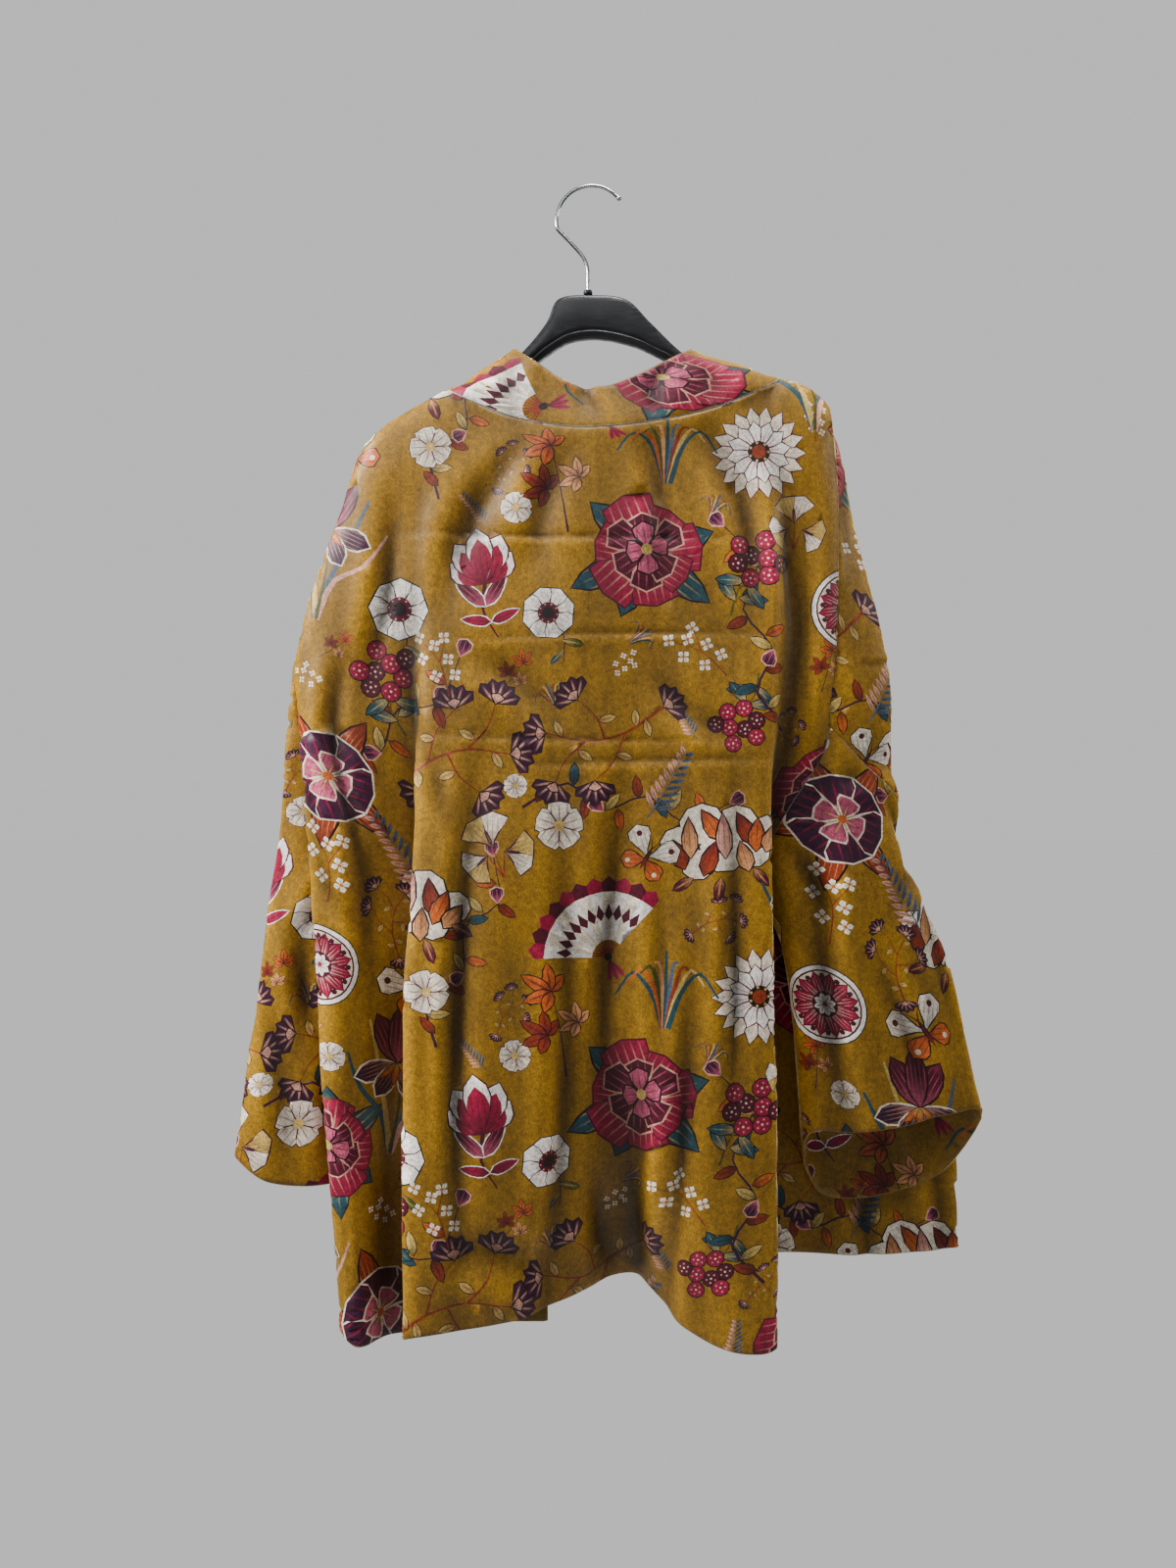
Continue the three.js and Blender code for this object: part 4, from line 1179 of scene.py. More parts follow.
@dataclass
class Shell:
    """A cut piece as a thin closed wall: printed face, plain reverse and rounded edges."""

    name: str
    node: str
    pattern: Pattern
    shift: Pair
    creases: tuple[Crease, ...] = ()
    wave: float = 1.0
    phase: float = 0.0
    turned: bool = False
    wall: float = 2.0
    hem: float = 3.2
    hem_depth: float = 20.0
    spacing: Pair = (5.5, 11.0)
    back_spacing: Pair = (6.5, 12.0)
    seam_dip: float = 1.1
    seam_reach: float = 3.2
    seam_calm: float = 26.0
    hem_step: float = 3.0
    rim_swell: float = 0.8
    edge_fine: float = 4.0
    piping: float = 0.0
    turn_up: float = 0.0
    turn_up_shift: Pair = (140, 210)

    def build(self, yardage: Yardage, velvet: Material, reverse: Material) -> bpy.types.Object:
        """Make the piece.

        Args:
            yardage: The printed cloth.
            velvet: Finish of the printed face and the edges.
            reverse: Finish of the inner face.

        Returns:
            The piece, dressed and declared.
        """
        edge, hung, held = self.pattern.outline()
        keep = np.linalg.norm(np.roll(edge, -1, 0) - edge, axis=1) > 0.05
        edge, hung, held = edge[keep], hung[keep], held[keep]
        sewn_at, free_at = edge[held], edge[~held]
        xs, ys, smooth = self.pattern.lattice()
        origin = (xs[0], ys[0])
        x, y = np.meshgrid(xs, ys)
        sign = -1.0 if self.turned else 1.0
        lift = self.lift(x.ravel(), y.ravel(), sewn_at).reshape(x.shape)
        plain = normals_of(smooth) * sign
        raised = smooth + plain * lift[..., None]
        raised_normals = normals_of(raised) * sign
        # depth of hollows and crests, which the velvet paints as shade and highlight
        painted_shade_depth = depth_for_painted_shade(raised, raised_normals)

        ahead = np.roll(edge, -1, 0) - np.roll(edge, 1, 0)
        inward = np.stack([-ahead[:, 1], ahead[:, 0]], 1) / np.maximum(np.linalg.norm(ahead, axis=1), 1e-9)[:, None]
        fine = [edge + inward * self.edge_fine] + [crease.places() for crease in self.creases if crease.width < 6]
        patches, extra = self.print(yardage, edge) + self.seams(), np.concatenate(fine)
        folded, inside_print = self.folded_in(yardage, edge)
        ring = edge
        for _ in range(4):  # until both sides share the points where either print crosses the edge
            cut = Cutting(ring, patches, self.spacing, extra)
            loop = boundary_loop(cut.faces)
            lining = Cutting(cut.points[loop], inside_print, self.back_spacing)
            back_loop = boundary_loop(lining.faces)
            ring = lining.points[back_loop]
            if len(loop) == len(back_loop):
                break
        flat_loop = cut.points[loop]
        start = int(np.argmin(np.sum((lining.points[back_loop] - flat_loop[0]) ** 2, axis=1)))
        back_loop = np.roll(back_loop, -start)
        if len(loop) != len(back_loop) or np.abs(lining.points[back_loop] - flat_loop).max() > 0.05:
            raise ValueError(f"{self.name}: the two sides' edges differ")
        on_edge, edge_held = self.on_edge(flat_loop, edge, hung, held)

        def hang(flat: Points) -> tuple[Points, Points]:
            """Hung places and normals of flat places."""
            place = look_up(raised, flat[:, 0], flat[:, 1], origin, self.pattern.pitch)
            normal = look_up(raised_normals, flat[:, 0], flat[:, 1], origin, self.pattern.pitch)
            return place, normal / np.maximum(np.linalg.norm(normal, axis=1, keepdims=True), 1e-9)

        places, face_normals = hang(cut.points)
        rest = look_up(plain, flat_loop[:, 0], flat_loop[:, 1], origin, self.pattern.pitch)
        places[loop] = on_edge + rest * self.lift(flat_loop[:, 0], flat_loop[:, 1], sewn_at)[:, None]
        half = self.half_wall(cut.points, free_at)
        outer = places + face_normals * half[:, None]

        # depth for painted shade at each point: the velvet darkens hollows and lightens crests by it
        heights = np.zeros(len(cut.points) + len(lining.points) + len(loop))
        heights[:len(cut.points)] = look_up(painted_shade_depth[..., None], *cut.points.T, origin, self.pattern.pitch)[:, 0]
        heights[-len(loop):] = heights[loop]
        back_places, back_normals = hang(lining.points)
        back_places[back_loop] = places[loop]
        back_normals[back_loop] = face_normals[loop]
        back_half = self.half_wall(lining.points, free_at)
        back_half[back_loop] = half[loop]
        inner = back_places - back_normals * back_half[:, None]

        tangent = np.roll(places[loop], -1, 0) - np.roll(places[loop], 1, 0)
        out = np.cross(tangent, face_normals[loop]) * sign
        out /= np.maximum(np.linalg.norm(out, axis=1, keepdims=True), 1e-9)
        middle = places[loop] + out * (half[loop] * np.where(edge_held, 0.0, self.rim_swell))[:, None]
        places = np.concatenate([outer, inner, middle])
        return self.assemble(cut, lining, loop, back_loop, places, heights, (velvet, reverse), folded)

    def folded_in(self, yardage: Yardage, edge: Points) -> tuple[Points, list[Patch]]:
        """Outline of the hem that is turned in and shows the print inside, and the print over it."""
        if not self.turn_up:
            return np.zeros((0, 2)), []
        bottom = np.stack([self.pattern.across[-1], self.pattern.down[-1]], 1)
        zone = np.concatenate([bottom, bottom[::-1] - [0, self.turn_up]])
        low, high = zone.min(0), zone.max(0)
        moved = self.shift[0] + self.turn_up_shift[0], self.shift[1] + self.turn_up_shift[1]
        shifted = replace(self, shift=moved, turned=not self.turned)
        over = [p for p in shifted.print(yardage, zone) if touches(p.outline, low, high)]
        return zone, [Patch(zone, Dye.GROUND), *over]

    def seams(self) -> list[Patch]:
        """Thin strips of the thread that shows along the piped edges."""
        if not self.piping:
            return []
        across, down = self.pattern.across, self.pattern.down
        flat = np.stack([across, down], 2)
        if "top" in self.pattern.sewn:
            line, near = flat[0], flat[3]
        else:
            line, near = flat[:, 0], flat[:, 2]
        way = (near - line) / np.linalg.norm(near - line, axis=1, keepdims=True)
        return [Patch(np.concatenate([line - way * 0.4, (line + way * self.piping)[::-1]]), Dye.SEAM)]

    def print(self, yardage: Yardage, edge: Points) -> list[Patch]:
        """Patches of the print over the flat pattern, upright and not mirrored on the outside."""
        turn = np.array([1.0 if self.turned else -1.0, -1.0])
        corners = np.stack([edge.min(0) * turn, edge.max(0) * turn])
        patches = yardage.over(corners.min(0), corners.max(0), self.shift)
        return [replace(p, outline=p.outline * turn, at=tuple(np.array(p.at) * turn),
                        along=tuple(np.array(p.along) * turn)) for p in patches]

    def lift(self, x: Points, y: Points, sewn_at: Points) -> Points:
        """Height of the cloth over its smooth form: creases and waves, calm and dipped at the seams.

        Args:
            x: Flat places across.
            y: Flat places down.
            sewn_at: Points of the sewn edges.

        Returns:
            One height for each place.
        """
        height = undulation(x, y, self.wave, self.phase)
        for crease in self.creases:
            height = height + crease.lift(x, y)
        if len(sewn_at):
            near = distance(np.stack([x, y], 1), sewn_at)
            calm = np.clip(near / self.seam_calm, 0, 1)
            height = height * calm * calm * (3 - 2 * calm) - self.seam_dip * np.exp(-((near / self.seam_reach) ** 2))
        return height

    def half_wall(self, flat: Points, free_at: Points) -> Points:
        """Half the wall's thickness: thicker in the turned hem along free edges."""
        if not len(free_at):
            return np.full(len(flat), self.wall / 2)
        near = distance(flat, free_at)
        turned = np.clip((self.hem_depth - near) / self.hem_step, 0, 1)
        return (self.wall + (self.hem - self.wall) * turned * turned * (3 - 2 * turned)) / 2

    @staticmethod
    def on_edge(flat: Points, edge: Points, hung: Points, held: Points) -> tuple[Points, Points]:
        """Hung places of flat points that lie on the pattern's edge, and whether they are sewn.

        Args:
            flat: Flat points on the edge.
            edge: The pattern's own edge points.
            hung: Their hung places.
            held: Whether each is sewn.

        Returns:
            Hung places, and whether each point is sewn.
        """
        nxt, hung_next = np.roll(edge, -1, 0), np.roll(hung, -1, 0)
        run = nxt - edge
        size = np.sum(run**2, 1)
        share = np.clip(np.einsum("pek,ek->pe", flat[:, None] - edge[None], run) / size, 0, 1)
        gap = np.sum((flat[:, None] - (edge[None] + share[..., None] * run)) ** 2, 2)
        best = gap.argmin(1)
        f = share[np.arange(len(flat)), best][:, None]
        return hung[best] * (1 - f) + hung_next[best] * f, held[best] & np.roll(held, -1)[best]

    def assemble(self, cut: Cutting, lining: Cutting, loop: Points, back_loop: Points, places: Points,
                 heights: Points, finishes: tuple, folded: Points) -> bpy.types.Object:
        """Args:
            cut: Triangles of the printed face.
            lining: Triangles of the inner face.
            loop: Points of the printed face along its edge.
            back_loop: The same points of the inner face.
            places: Points of the printed face, the inner face and the rim between them, in millimetres.
            heights: How far each of them lies in a hollow, which the velvet paints as shade in hollows and as
                highlight on crests.
            finishes: The printed velvet and its reverse.
            folded: Outline of the turned-up hem, where the print shows inside.

        Returns:
            The piece.
        """
        n_outer, n_inner = len(cut.points), len(lining.points)
        face = cut.faces[:, ::-1] if self.turned else cut.faces
        back = (lining.faces if self.turned else lining.faces[:, ::-1]) + n_outer
        k = np.arange(len(loop))
        a, b = loop, np.roll(loop, -1)
        c, d = n_outer + n_inner + k, n_outer + n_inner + np.roll(k, -1)
        e, f = n_outer + back_loop, n_outer + np.roll(back_loop, -1)
        rim = np.concatenate([
            np.stack([b, a, c], 1), np.stack([b, c, d], 1), np.stack([d, c, e], 1), np.stack([d, e, f], 1),
        ])
        if self.turned:
            rim = rim[:, ::-1]
        used, corners = np.unique(np.concatenate([face, back, rim]), return_inverse=True)
        mesh = bpy.data.meshes.new(self.name)
        corners = corners.reshape(-1, 3)
        mesh.from_pydata((places[used] * MM).tolist(), [], corners.tolist())
        slots = np.zeros(len(corners), np.int32)
        shown = np.zeros(len(back), bool)
        if len(folded):
            shown = inside_many(lining.points[back - n_outer].mean(1), folded)
        slots[len(face):len(face) + len(back)] = np.where(shown, 0, 1)
        mesh.polygons.foreach_set("material_index", slots)
        mesh.polygons.foreach_set("use_smooth", np.ones(len(corners), bool))
        for finish in finishes:
            mesh.materials.append(finish)
        # the depth that the velvet paints as shade in hollows and as highlight on crests
        mesh.attributes.new("painted_shade_depth", "FLOAT", "POINT").data.foreach_set("value", heights[used])
        self.dye(mesh, ((cut, face), (lining, back - n_outer)), len(corners))
        self.map(mesh, cut, lining, face, back - n_outer, len(rim))
        piece = declared(mesh, self.node)
        return piece

    @staticmethod
    def dye(mesh: bpy.types.Mesh, sides: tuple, count: int) -> None:
        """Write the print's dyes and each patch's own frame to the corners of the face, then the inner side.

        Args:
            mesh: The piece's mesh.
            sides: Each side's cut pattern with its faces.
            count: Number of faces in all.
        """
        frames = np.zeros((count * 3, 3))
        colours, seconds = (np.tile([*linear(Dye.GROUND.value), 1.0], (count * 3, 1)) for _ in range(2))
        start = 0
        for cut, face in sides:
            dyes = np.array([linear(Dye.GROUND.value)] + [linear(p.dye.value) for p in cut.patches])
            lines = np.array([linear(Dye.GROUND.value)] + [linear(p.line.value) for p in cut.patches])
            at = np.array([(0.0, 0.0)] + [p.at for p in cut.patches])
            along = np.array([(1.0, 0.0)] + [p.along for p in cut.patches])
            half = np.array([1.0] + [p.half for p in cut.patches])
            stripes = np.array([0.0] + [p.stripes for p in cut.patches])
            top = cut.top + 1
            flat = cut.points[face] - at[top][:, None]
            length = np.linalg.norm(along[top], axis=1)[:, None]
            unit = along[top] / length
            run = np.einsum("fck,fk->fc", flat, unit) / length
            side = (flat[..., 1] * unit[:, None, 0] - flat[..., 0] * unit[:, None, 1]) / half[top][:, None]
            end = start + face.size
            frames[start:end] = np.stack([run, side, np.repeat(stripes[top][:, None], 3, 1)], 2).reshape(-1, 3)
            colours[start:end, :3] = np.repeat(dyes[top], 3, axis=0)
            seconds[start:end, :3] = np.repeat(lines[top], 3, axis=0)
            start = end
        mesh.color_attributes.new("dye", "FLOAT_COLOR", "CORNER").data.foreach_set("color", colours.ravel())
        mesh.color_attributes.new("line", "FLOAT_COLOR", "CORNER").data.foreach_set("color", seconds.ravel())
        mesh.attributes.new("patch_frame", "FLOAT_VECTOR", "CORNER").data.foreach_set("vector", frames.ravel())

    @staticmethod
    def map(mesh: bpy.types.Mesh, cut: Cutting, lining: Cutting, face: Points, back: Points, rim: int) -> None:
        """Lay the flat pattern out as the mesh's map: face and reverse side by side, the edges below.

        Args:
            mesh: The piece's mesh.
            cut: Triangles of the printed face.
            lining: Triangles of the inner face.
            face: Faces of the printed side.
            back: Faces of the inner side.
            rim: Number of faces along the edge.
        """
        low, high = cut.points.min(0), cut.points.max(0)
        size = max(2.04 * (high[0] - low[0]), 1.06 * (high[1] - low[1]))
        strip = 0.03  # height kept free for the edges
        front = (cut.points[face] - low) / size + [0.002, strip]
        behind = (lining.points[back] - low) / size + [0.004 + (high[0] - low[0]) / size, strip]
        quarter = rim // 4
        k = np.arange(quarter) / quarter
        ahead = k + 1 / quarter
        rows = []
        for low_v, high_v in ((0.004, 0.012), (0.012, 0.02)):
            for corners in (((ahead, low_v), (k, low_v), (k, high_v)), ((ahead, low_v), (k, high_v), (ahead, high_v))):
                rows.append(np.stack([np.stack([u, 0 * u + v], 1) for u, v in corners], 1))
        places = np.concatenate([front, behind, *rows]).reshape(-1, 2)
        places = np.clip(places, 0.0, 1.0)
        mesh.uv_layers.new(name="OFBake").uv.foreach_set("vector", places.ravel())


def declared(mesh: bpy.types.Mesh, node: str) -> bpy.types.Object:
    """Object of a finished mesh, which takes a node's place in the body."""
    mesh.validate()
    mesh.update()
    piece = bpy.data.objects.new(mesh.name, mesh)
    bpy.context.scene.collection.objects.link(piece)
    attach(piece, "root")
    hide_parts(node)
    return piece


def distance(points: Points, others: Points) -> Points:
    """Distance of each point from the nearest of the others."""
    blocks = np.array_split(points, max(1, len(points) // 2000))
    size = np.sum(others**2, 1)
    return np.concatenate([
        np.sqrt(np.maximum((np.sum(b**2, 1)[:, None] + size - 2 * b @ others.T).min(1), 0)) for b in blocks
    ])


def normals_of(lattice: Points) -> Points:
    """Unit normals of a lattice, across by down."""
    normal = np.cross(np.gradient(lattice, axis=1), np.gradient(lattice, axis=0))
    return normal / np.maximum(np.linalg.norm(normal, axis=2, keepdims=True), 1e-9)


def depth_for_painted_shade(lattice: Points, normals: Points) -> Points:
    """How far each place lies below its surroundings, in millimetres: hollows positive, crests negative. The velvet
    turns it into painted shade in the hollows and painted highlight on the crests.

    Args:
        lattice: Points by place down and across.
        normals: Their normals.

    Returns:
        One depth for each point.
    """
    known = np.any(lattice != 0, axis=2).astype(float)
    packed = np.concatenate([lattice * known[..., None], known[..., None]], axis=2)
    total = np.zeros(known.shape)
    for reach, share in ((3, 0.9), (9, 0.35)):
        sums = np.pad(packed, ((reach + 1, reach), (reach + 1, reach), (0, 0))).cumsum(0).cumsum(1)
        w = 2 * reach + 1
        block = sums[w:, w:] - sums[:-w, w:] - sums[w:, :-w] + sums[:-w, :-w]
        mean = block[..., :3] / np.maximum(block[..., 3:], 1)
        total += share * np.sum((mean - lattice) * normals, axis=2)
    return np.clip(total, -4, 6) * known


def boundary_loop(faces: Points) -> Points:
    """Longest closed run of edges that only one face has, in order."""
    edges = np.concatenate([faces[:, [0, 1]], faces[:, [1, 2]], faces[:, [2, 0]]])
    both = set(map(tuple, edges.tolist()))
    follow = {a: b for a, b in both if (b, a) not in both}
    best: list[int] = []
    while follow:
        start, run = next(iter(follow)), []
        point = start
        while point in follow:
            run.append(point)
            point = follow.pop(point)
        best = max(best, run, key=len)
    return np.array(best)


# ---- finishes


class Nodes:
    """Short words for building a material's nodes."""

    def __init__(self, name: str) -> None:
        """Start a material with only its surface shader."""
        self.material = bpy.data.materials.new(name)
        self.material.use_nodes = True
        self.tree = self.material.node_tree
        self.shader = self.tree.nodes["Principled BSDF"]

    def node(self, kind: str, inputs: dict | None = None, **settings: object) -> bpy.types.Node:
        """Add a node, with its settings and inputs; an input may be a value or another node's output."""
        node = self.tree.nodes.new(kind)
        for key, value in settings.items():
            setattr(node, key, value)
        for key, value in (inputs or {}).items():
            self.feed(node.inputs[key], value)
        return node

    def feed(self, socket: Socket, value: object) -> None:
        """Set a socket, or link it."""
        if isinstance(value, Socket):
            self.tree.links.new(value, socket)
        else:
            socket.default_value = value

    def math(self, operation: str, a: object, b: object = 0.0, clamp: bool = False) -> Socket:
        """Result of a sum on two values."""
        return self.node("ShaderNodeMath", {0: a, 1: b}, operation=operation, use_clamp=clamp).outputs[0]

    def times(self, a: object, b: object, clamp: bool = False) -> Socket:
        """Product of two values."""
        return self.math("MULTIPLY", a, b, clamp)

    def attribute(self, name: str, kind: str) -> Socket:
        """What the mesh holds under a name."""
        return self.node("ShaderNodeAttribute", attribute_name=name).outputs[kind]

    def shaded(self, colour: object, bright: Socket) -> Socket:
        """A colour made lighter or darker."""
        tone = self.node("ShaderNodeCombineColor", {0: bright, 1: bright, 2: bright}).outputs[0]
        return self.mix(1.0, colour, tone, "MULTIPLY")

    def bump(self, strength: float, distance: float, height: Socket) -> Socket:
        """Normals roughened by a height, with the distance in metres."""
        return self.node("ShaderNodeBump", {"Strength": strength, "Distance": distance, "Height": height}).outputs[0]

    def ramp(self, value: object, low: float, high: float, to_low: float = 0.0, to_high: float = 1.0) -> Socket:
        """A value carried smoothly from one range to another."""
        inputs = {"Value": value, "From Min": low, "From Max": high, "To Min": to_low, "To Max": to_high}
        return self.node("ShaderNodeMapRange", inputs, interpolation_type="SMOOTHSTEP").outputs[0]

    def noise(self, scale: float, detail: float, stretch: Triple = (1, 1, 1)) -> Socket:
        """Noise in the object's own metres."""
        place = self.node("ShaderNodeTexCoord").outputs["Object"]
        mapped = self.node("ShaderNodeMapping", {"Vector": place, "Scale": stretch}).outputs[0]
        return self.node("ShaderNodeTexNoise", {"Vector": mapped, "Scale": scale, "Detail": detail}).outputs["Fac"]

    def mix(self, share: object, a: object, b: object, blend: str = "MIX") -> Socket:
        """Mix of two colours."""
        node = self.node("ShaderNodeMix", data_type="RGBA", blend_type=blend)
        self.feed(node.inputs[0], share)
        self.feed(node.inputs[6], a)
        self.feed(node.inputs[7], b)
        return node.outputs[2]

    def set(self, **values: object) -> None:
        """Set sockets of the surface shader, with spaces written as underlines."""
        for key, value in values.items():
            self.feed(self.shader.inputs[key.replace("_", " ")], value)


@dataclass(frozen=True)
class VelvetFinish:
    """Printed velvet: dyed pile with crushed patches, a golden sheen, fine sparkle, painted shade in the folds'
    hollows and painted highlight on their crests.
    """

    name: str = "printed_velvet"
    sheen: float = 1.0
    sheen_tint: Colour = (1.0, 0.74, 0.36, 1.0)
    # painted shade: how much darker per millimetre of hollow, and how dark at most; crests get lighter the same way
    painted_hollow_shade: float = 0.3
    darkest_painted_shade: float = 0.3

    def make(self) -> Material:
        """Build the material."""
        n = Nodes(self.name)
        dye = n.attribute("dye", "Color")
        line = n.attribute("line", "Color")
        frame_of = n.attribute("patch_frame", "Vector")
        run, side, stripes = n.node("ShaderNodeSeparateXYZ", {0: frame_of}).outputs
        wave = n.math("COSINE", n.times(n.times(side, stripes), math.pi))
        vein = n.times(n.ramp(wave, 0.72, 0.98), n.ramp(run, 0.95, 0.5))
        drawn = n.ramp(stripes, 0.0, 0.5)
        base = n.times(n.ramp(run, 0.62, 0.0, 0.0, 0.62), drawn)
        ink = n.times(n.math("MAXIMUM", n.times(vein, 0.75), base), drawn, True)
        printed = n.mix(ink, dye, line)
        crush = n.noise(17.0, 6.0, (1.0, 1.0, 0.55))
        streak = n.noise(60.0, 4.0, (1.0, 1.0, 0.22))
        speck = n.noise(900.0, 2.0, (1.0, 1.0, 0.6))
        grain = n.noise(210.0, 3.0)
        nap = n.math("ADD", n.times(crush, 0.5), n.times(streak, 0.5))
        bright = n.times(n.ramp(nap, 0.34, 0.66, 0.72, 1.3), n.ramp(speck, 0.3, 0.7, 0.72, 1.3))
        bright = n.times(bright, n.ramp(grain, 0.32, 0.68, 0.84, 1.18))
        # painted shade in the hollows and painted highlight on the crests, from the depth stored on the mesh
        painted_shade_depth = n.attribute("painted_shade_depth", "Fac")
        hollow = n.math("SUBTRACT", 1.0, n.times(painted_shade_depth, self.painted_hollow_shade))
        bright = n.times(bright, n.math("MAXIMUM", hollow, self.darkest_painted_shade))
        pile = n.math("ADD", n.times(speck, 0.35), n.times(n.noise(90.0, 3.0), 1.0))
        bump = n.bump(0.3, 0.0008, pile)
        n.set(Base_Color=n.shaded(printed, bright), Roughness=n.ramp(nap, 0.3, 0.7, 0.6, 0.44),
              Specular_IOR_Level=0.4, Sheen_Weight=self.sheen, Sheen_Roughness=0.28,
              Sheen_Tint=self.sheen_tint, Normal=bump)
        return n.material


@dataclass(frozen=True)
class ReverseFinish:
    """Plain knitted reverse of the velvet."""

    name: str = "velvet_reverse"
    tint: Colour = (0.2, 0.125, 0.032, 1.0)

    def make(self) -> Material:
        """Build the material."""
        n = Nodes(self.name)
        rows = n.node("ShaderNodeTexWave", {"Vector": n.node("ShaderNodeTexCoord").outputs["Object"], "Scale": 260.0,
                                            "Distortion": 1.5}, bands_direction="Z").outputs["Fac"]
        stain = n.noise(16.0, 3.0)
        bright = n.times(n.ramp(rows, 0.0, 1.0, 0.88, 1.08), n.ramp(stain, 0.3, 0.7, 0.8, 1.2))
        bump = n.bump(0.3, 0.0006, rows)
        n.set(Base_Color=n.shaded(self.tint, bright), Roughness=0.82, Specular_IOR_Level=0.2,
              Sheen_Weight=0.15, Normal=bump)
        return n.material


@dataclass(frozen=True)
class PlasticFinish:
    """Black moulded plastic, satin, with dust and fine scratches."""

    name: str = "hanger_plastic"

    def make(self) -> Material:
        """Build the material."""
        n = Nodes(self.name)
        dust = n.noise(45.0, 5.0)
        scratch = n.noise(240.0, 2.0, (0.25, 1.0, 2.4))
        tone = n.mix(n.ramp(dust, 0.45, 0.75, 0.0, 0.35), (0.012, 0.012, 0.014, 1), (0.045, 0.046, 0.05, 1))
        bump = n.bump(0.12, 0.0004, scratch)
        n.set(Base_Color=tone, Roughness=n.ramp(scratch, 0.3, 0.7, 0.3, 0.46), Specular_IOR_Level=0.5,
              Normal=bump)
        return n.material


@dataclass(frozen=True)
class WireFinish:
    """Bright plated wire with a slightly dull grain."""

    name: str = "hook_wire"

    def make(self) -> Material:
        """Build the material."""
        n = Nodes(self.name)
        wear = n.noise(320.0, 3.0)
        tone = n.mix(n.ramp(wear, 0.4, 0.75), (0.62, 0.63, 0.65, 1), (0.4, 0.41, 0.43, 1))
        n.set(Base_Color=tone, Metallic=1.0, Roughness=n.ramp(wear, 0.3, 0.7, 0.14, 0.3))
        return n.material


# ---- the garment's pieces


@dataclass
class Jacket:
    """The jacket's cut pieces."""

    hang: Hang = field(default_factory=Hang)
    yardage: Yardage = field(default_factory=Yardage)
    row_steps: int = 8
    column_steps: int = 5
    back_creases: tuple[Crease, ...] = creases(
        (-175, 328, 140, 335, 3.0, 0.8, 3),  # old fold lines of the folded garment
        (-120, 429, 165, 424, 2.8, 0.7, -3),
        (-165, 516, 120, 522, 2.8, 0.6, 2),
        (-60, 545, 160, 540, 3.2, 0.8, -2),
        (-62, 248, -136, 400, 15, 2.5, 14),  # drags from the neck to the armholes
        (110, 240, 152, 396, 14, 2.6, -12),
        (-186, 292, -214, 470, 11, 2.6, -8),
        (-20, 252, -52, 360, 15, 2.4, 8),
        (52, 246, 66, 372, 13, 2.2, -6),
        (176, 260, 196, 430, 10, 2.2, 6),
        (-104, 560, -118, 1020, 13, 4.2, 12),  # long soft falls
        (-22, 640, -38, 1036, 15, 3.9, -9),
        (28, 560, 14, 910, 14, 3.0, 7),
        (92, 740, 104, 1068, 12, 3.8, 6),
        (60, 640, 66, 860, 10, 2.0, -4),
        (-150, 640, -146, 930, 10, 2.2, 4),
        (-128, 985, -40, 1014, 19, 3.2, -8),
        (10, 930, 36, 1034, 14, 2.6, 5),
        (-286, 700, -304, 1020, 12, 3.0, 6),
        (-262, 520, -276, 760, 11, 2.4, -6),
        (-230, 440, -262, 600, 10, 2.8, 8),
        (-300, 640, -268, 700, 10, 1.8, 5),
        (132, 560, 138, 880, 10, 2.4, 4),
        (60, 462, 130, 520, 12, 1.8, 6),
        (-110, 444, -30, 506, 14, 1.8, -8),
        (-170, 470, -120, 610, 10, 1.9, 7),
    )
    front_creases: tuple[Crease, ...] = creases(
        (-190, 330, -150, 520, 11, 2.0, 8),
        (-160, 600, -172, 900, 14, 2.6, -8),
        (-205, 720, -215, 1020, 10, 2.2, 5),
        (-140, 860, -134, 1070, 11, 2.0, 4),
        (-240, 420, -200, 560, 10, 2.0, -6),
        (-185, 430, -125, 436, 3.2, 0.8, 2),
        (-200, 640, -130, 646, 3.2, 0.7, -2),
    )
    left_sleeve_creases: tuple[Crease, ...] = creases(
        (66, 596, 36, 700, 10, 2.8, -6),
        (36, 700, 70, 800, 10, 2.6, 6),
        (-70, 560, -20, 700, 12, 2.2, 6),
        (20, 790, 52, 930, 12, 2.8, -5),
        (-36, 740, -60, 900, 12, 2.4, 5),
        (84, 720, 98, 900, 10, 2.0, 4),
        (-110, 660, -96, 860, 11, 2.0, 4),
        (0, 560, 14, 690, 10, 1.8, 4),
    )
    right_sleeve_creases: tuple[Crease, ...] = creases(
        (-58, 560, -84, 866, 13, 2.8, 8),
        (26, 620, 48, 880, 12, 2.8, -6),
        (-14, 730, -34, 884, 12, 2.4, 4),
        (66, 590, 18, 700, 11, 2.2, 5),
        (-120, 640, -130, 850, 11, 2.4, 5),
        (-170, 700, -160, 930, 13, 2.6, 6),
        (-220, 640, -236, 900, 12, 2.2, -5),
        (-66, 536, 20, 560, 9, 1.3, 6),
        (-100, 600, -40, 690, 11, 1.8, -6),
    )
    band_creases: tuple[Crease, ...] = creases(
        (2, 925, 62, 962, 8, 2.2, 5),
        (0, 990, 58, 966, 8, 2.0, -4),
        (8, 1052, 60, 1040, 9, 1.6, 5),
        (2, 1100, 62, 1142, 8, 2.2, -5),
        (6, 1150, 60, 1178, 8, 1.6, 4),
        (30, 300, 40, 700, 11, 1.2, 5),
        (28, 1300, 38, 1800, 11, 1.2, -5),
    )

    def patterns(self) -> dict[str, Points]:
        """Coarse grids of every piece."""
        h = self.hang
        back, left, right = h.back(), h.front(h.front_left, True), h.front(h.front_right, False)
        return {
            "back": back, "front_left": left, "front_right": right,
            "sleeve_left": h.sleeve(h.sleeve_left, h.arm_back_left, h.arm_front_left),
            "sleeve_right": h.sleeve(h.sleeve_right, h.arm_back_right, h.arm_front_right),
            "neck_band": h.band(left, back, right),
        }

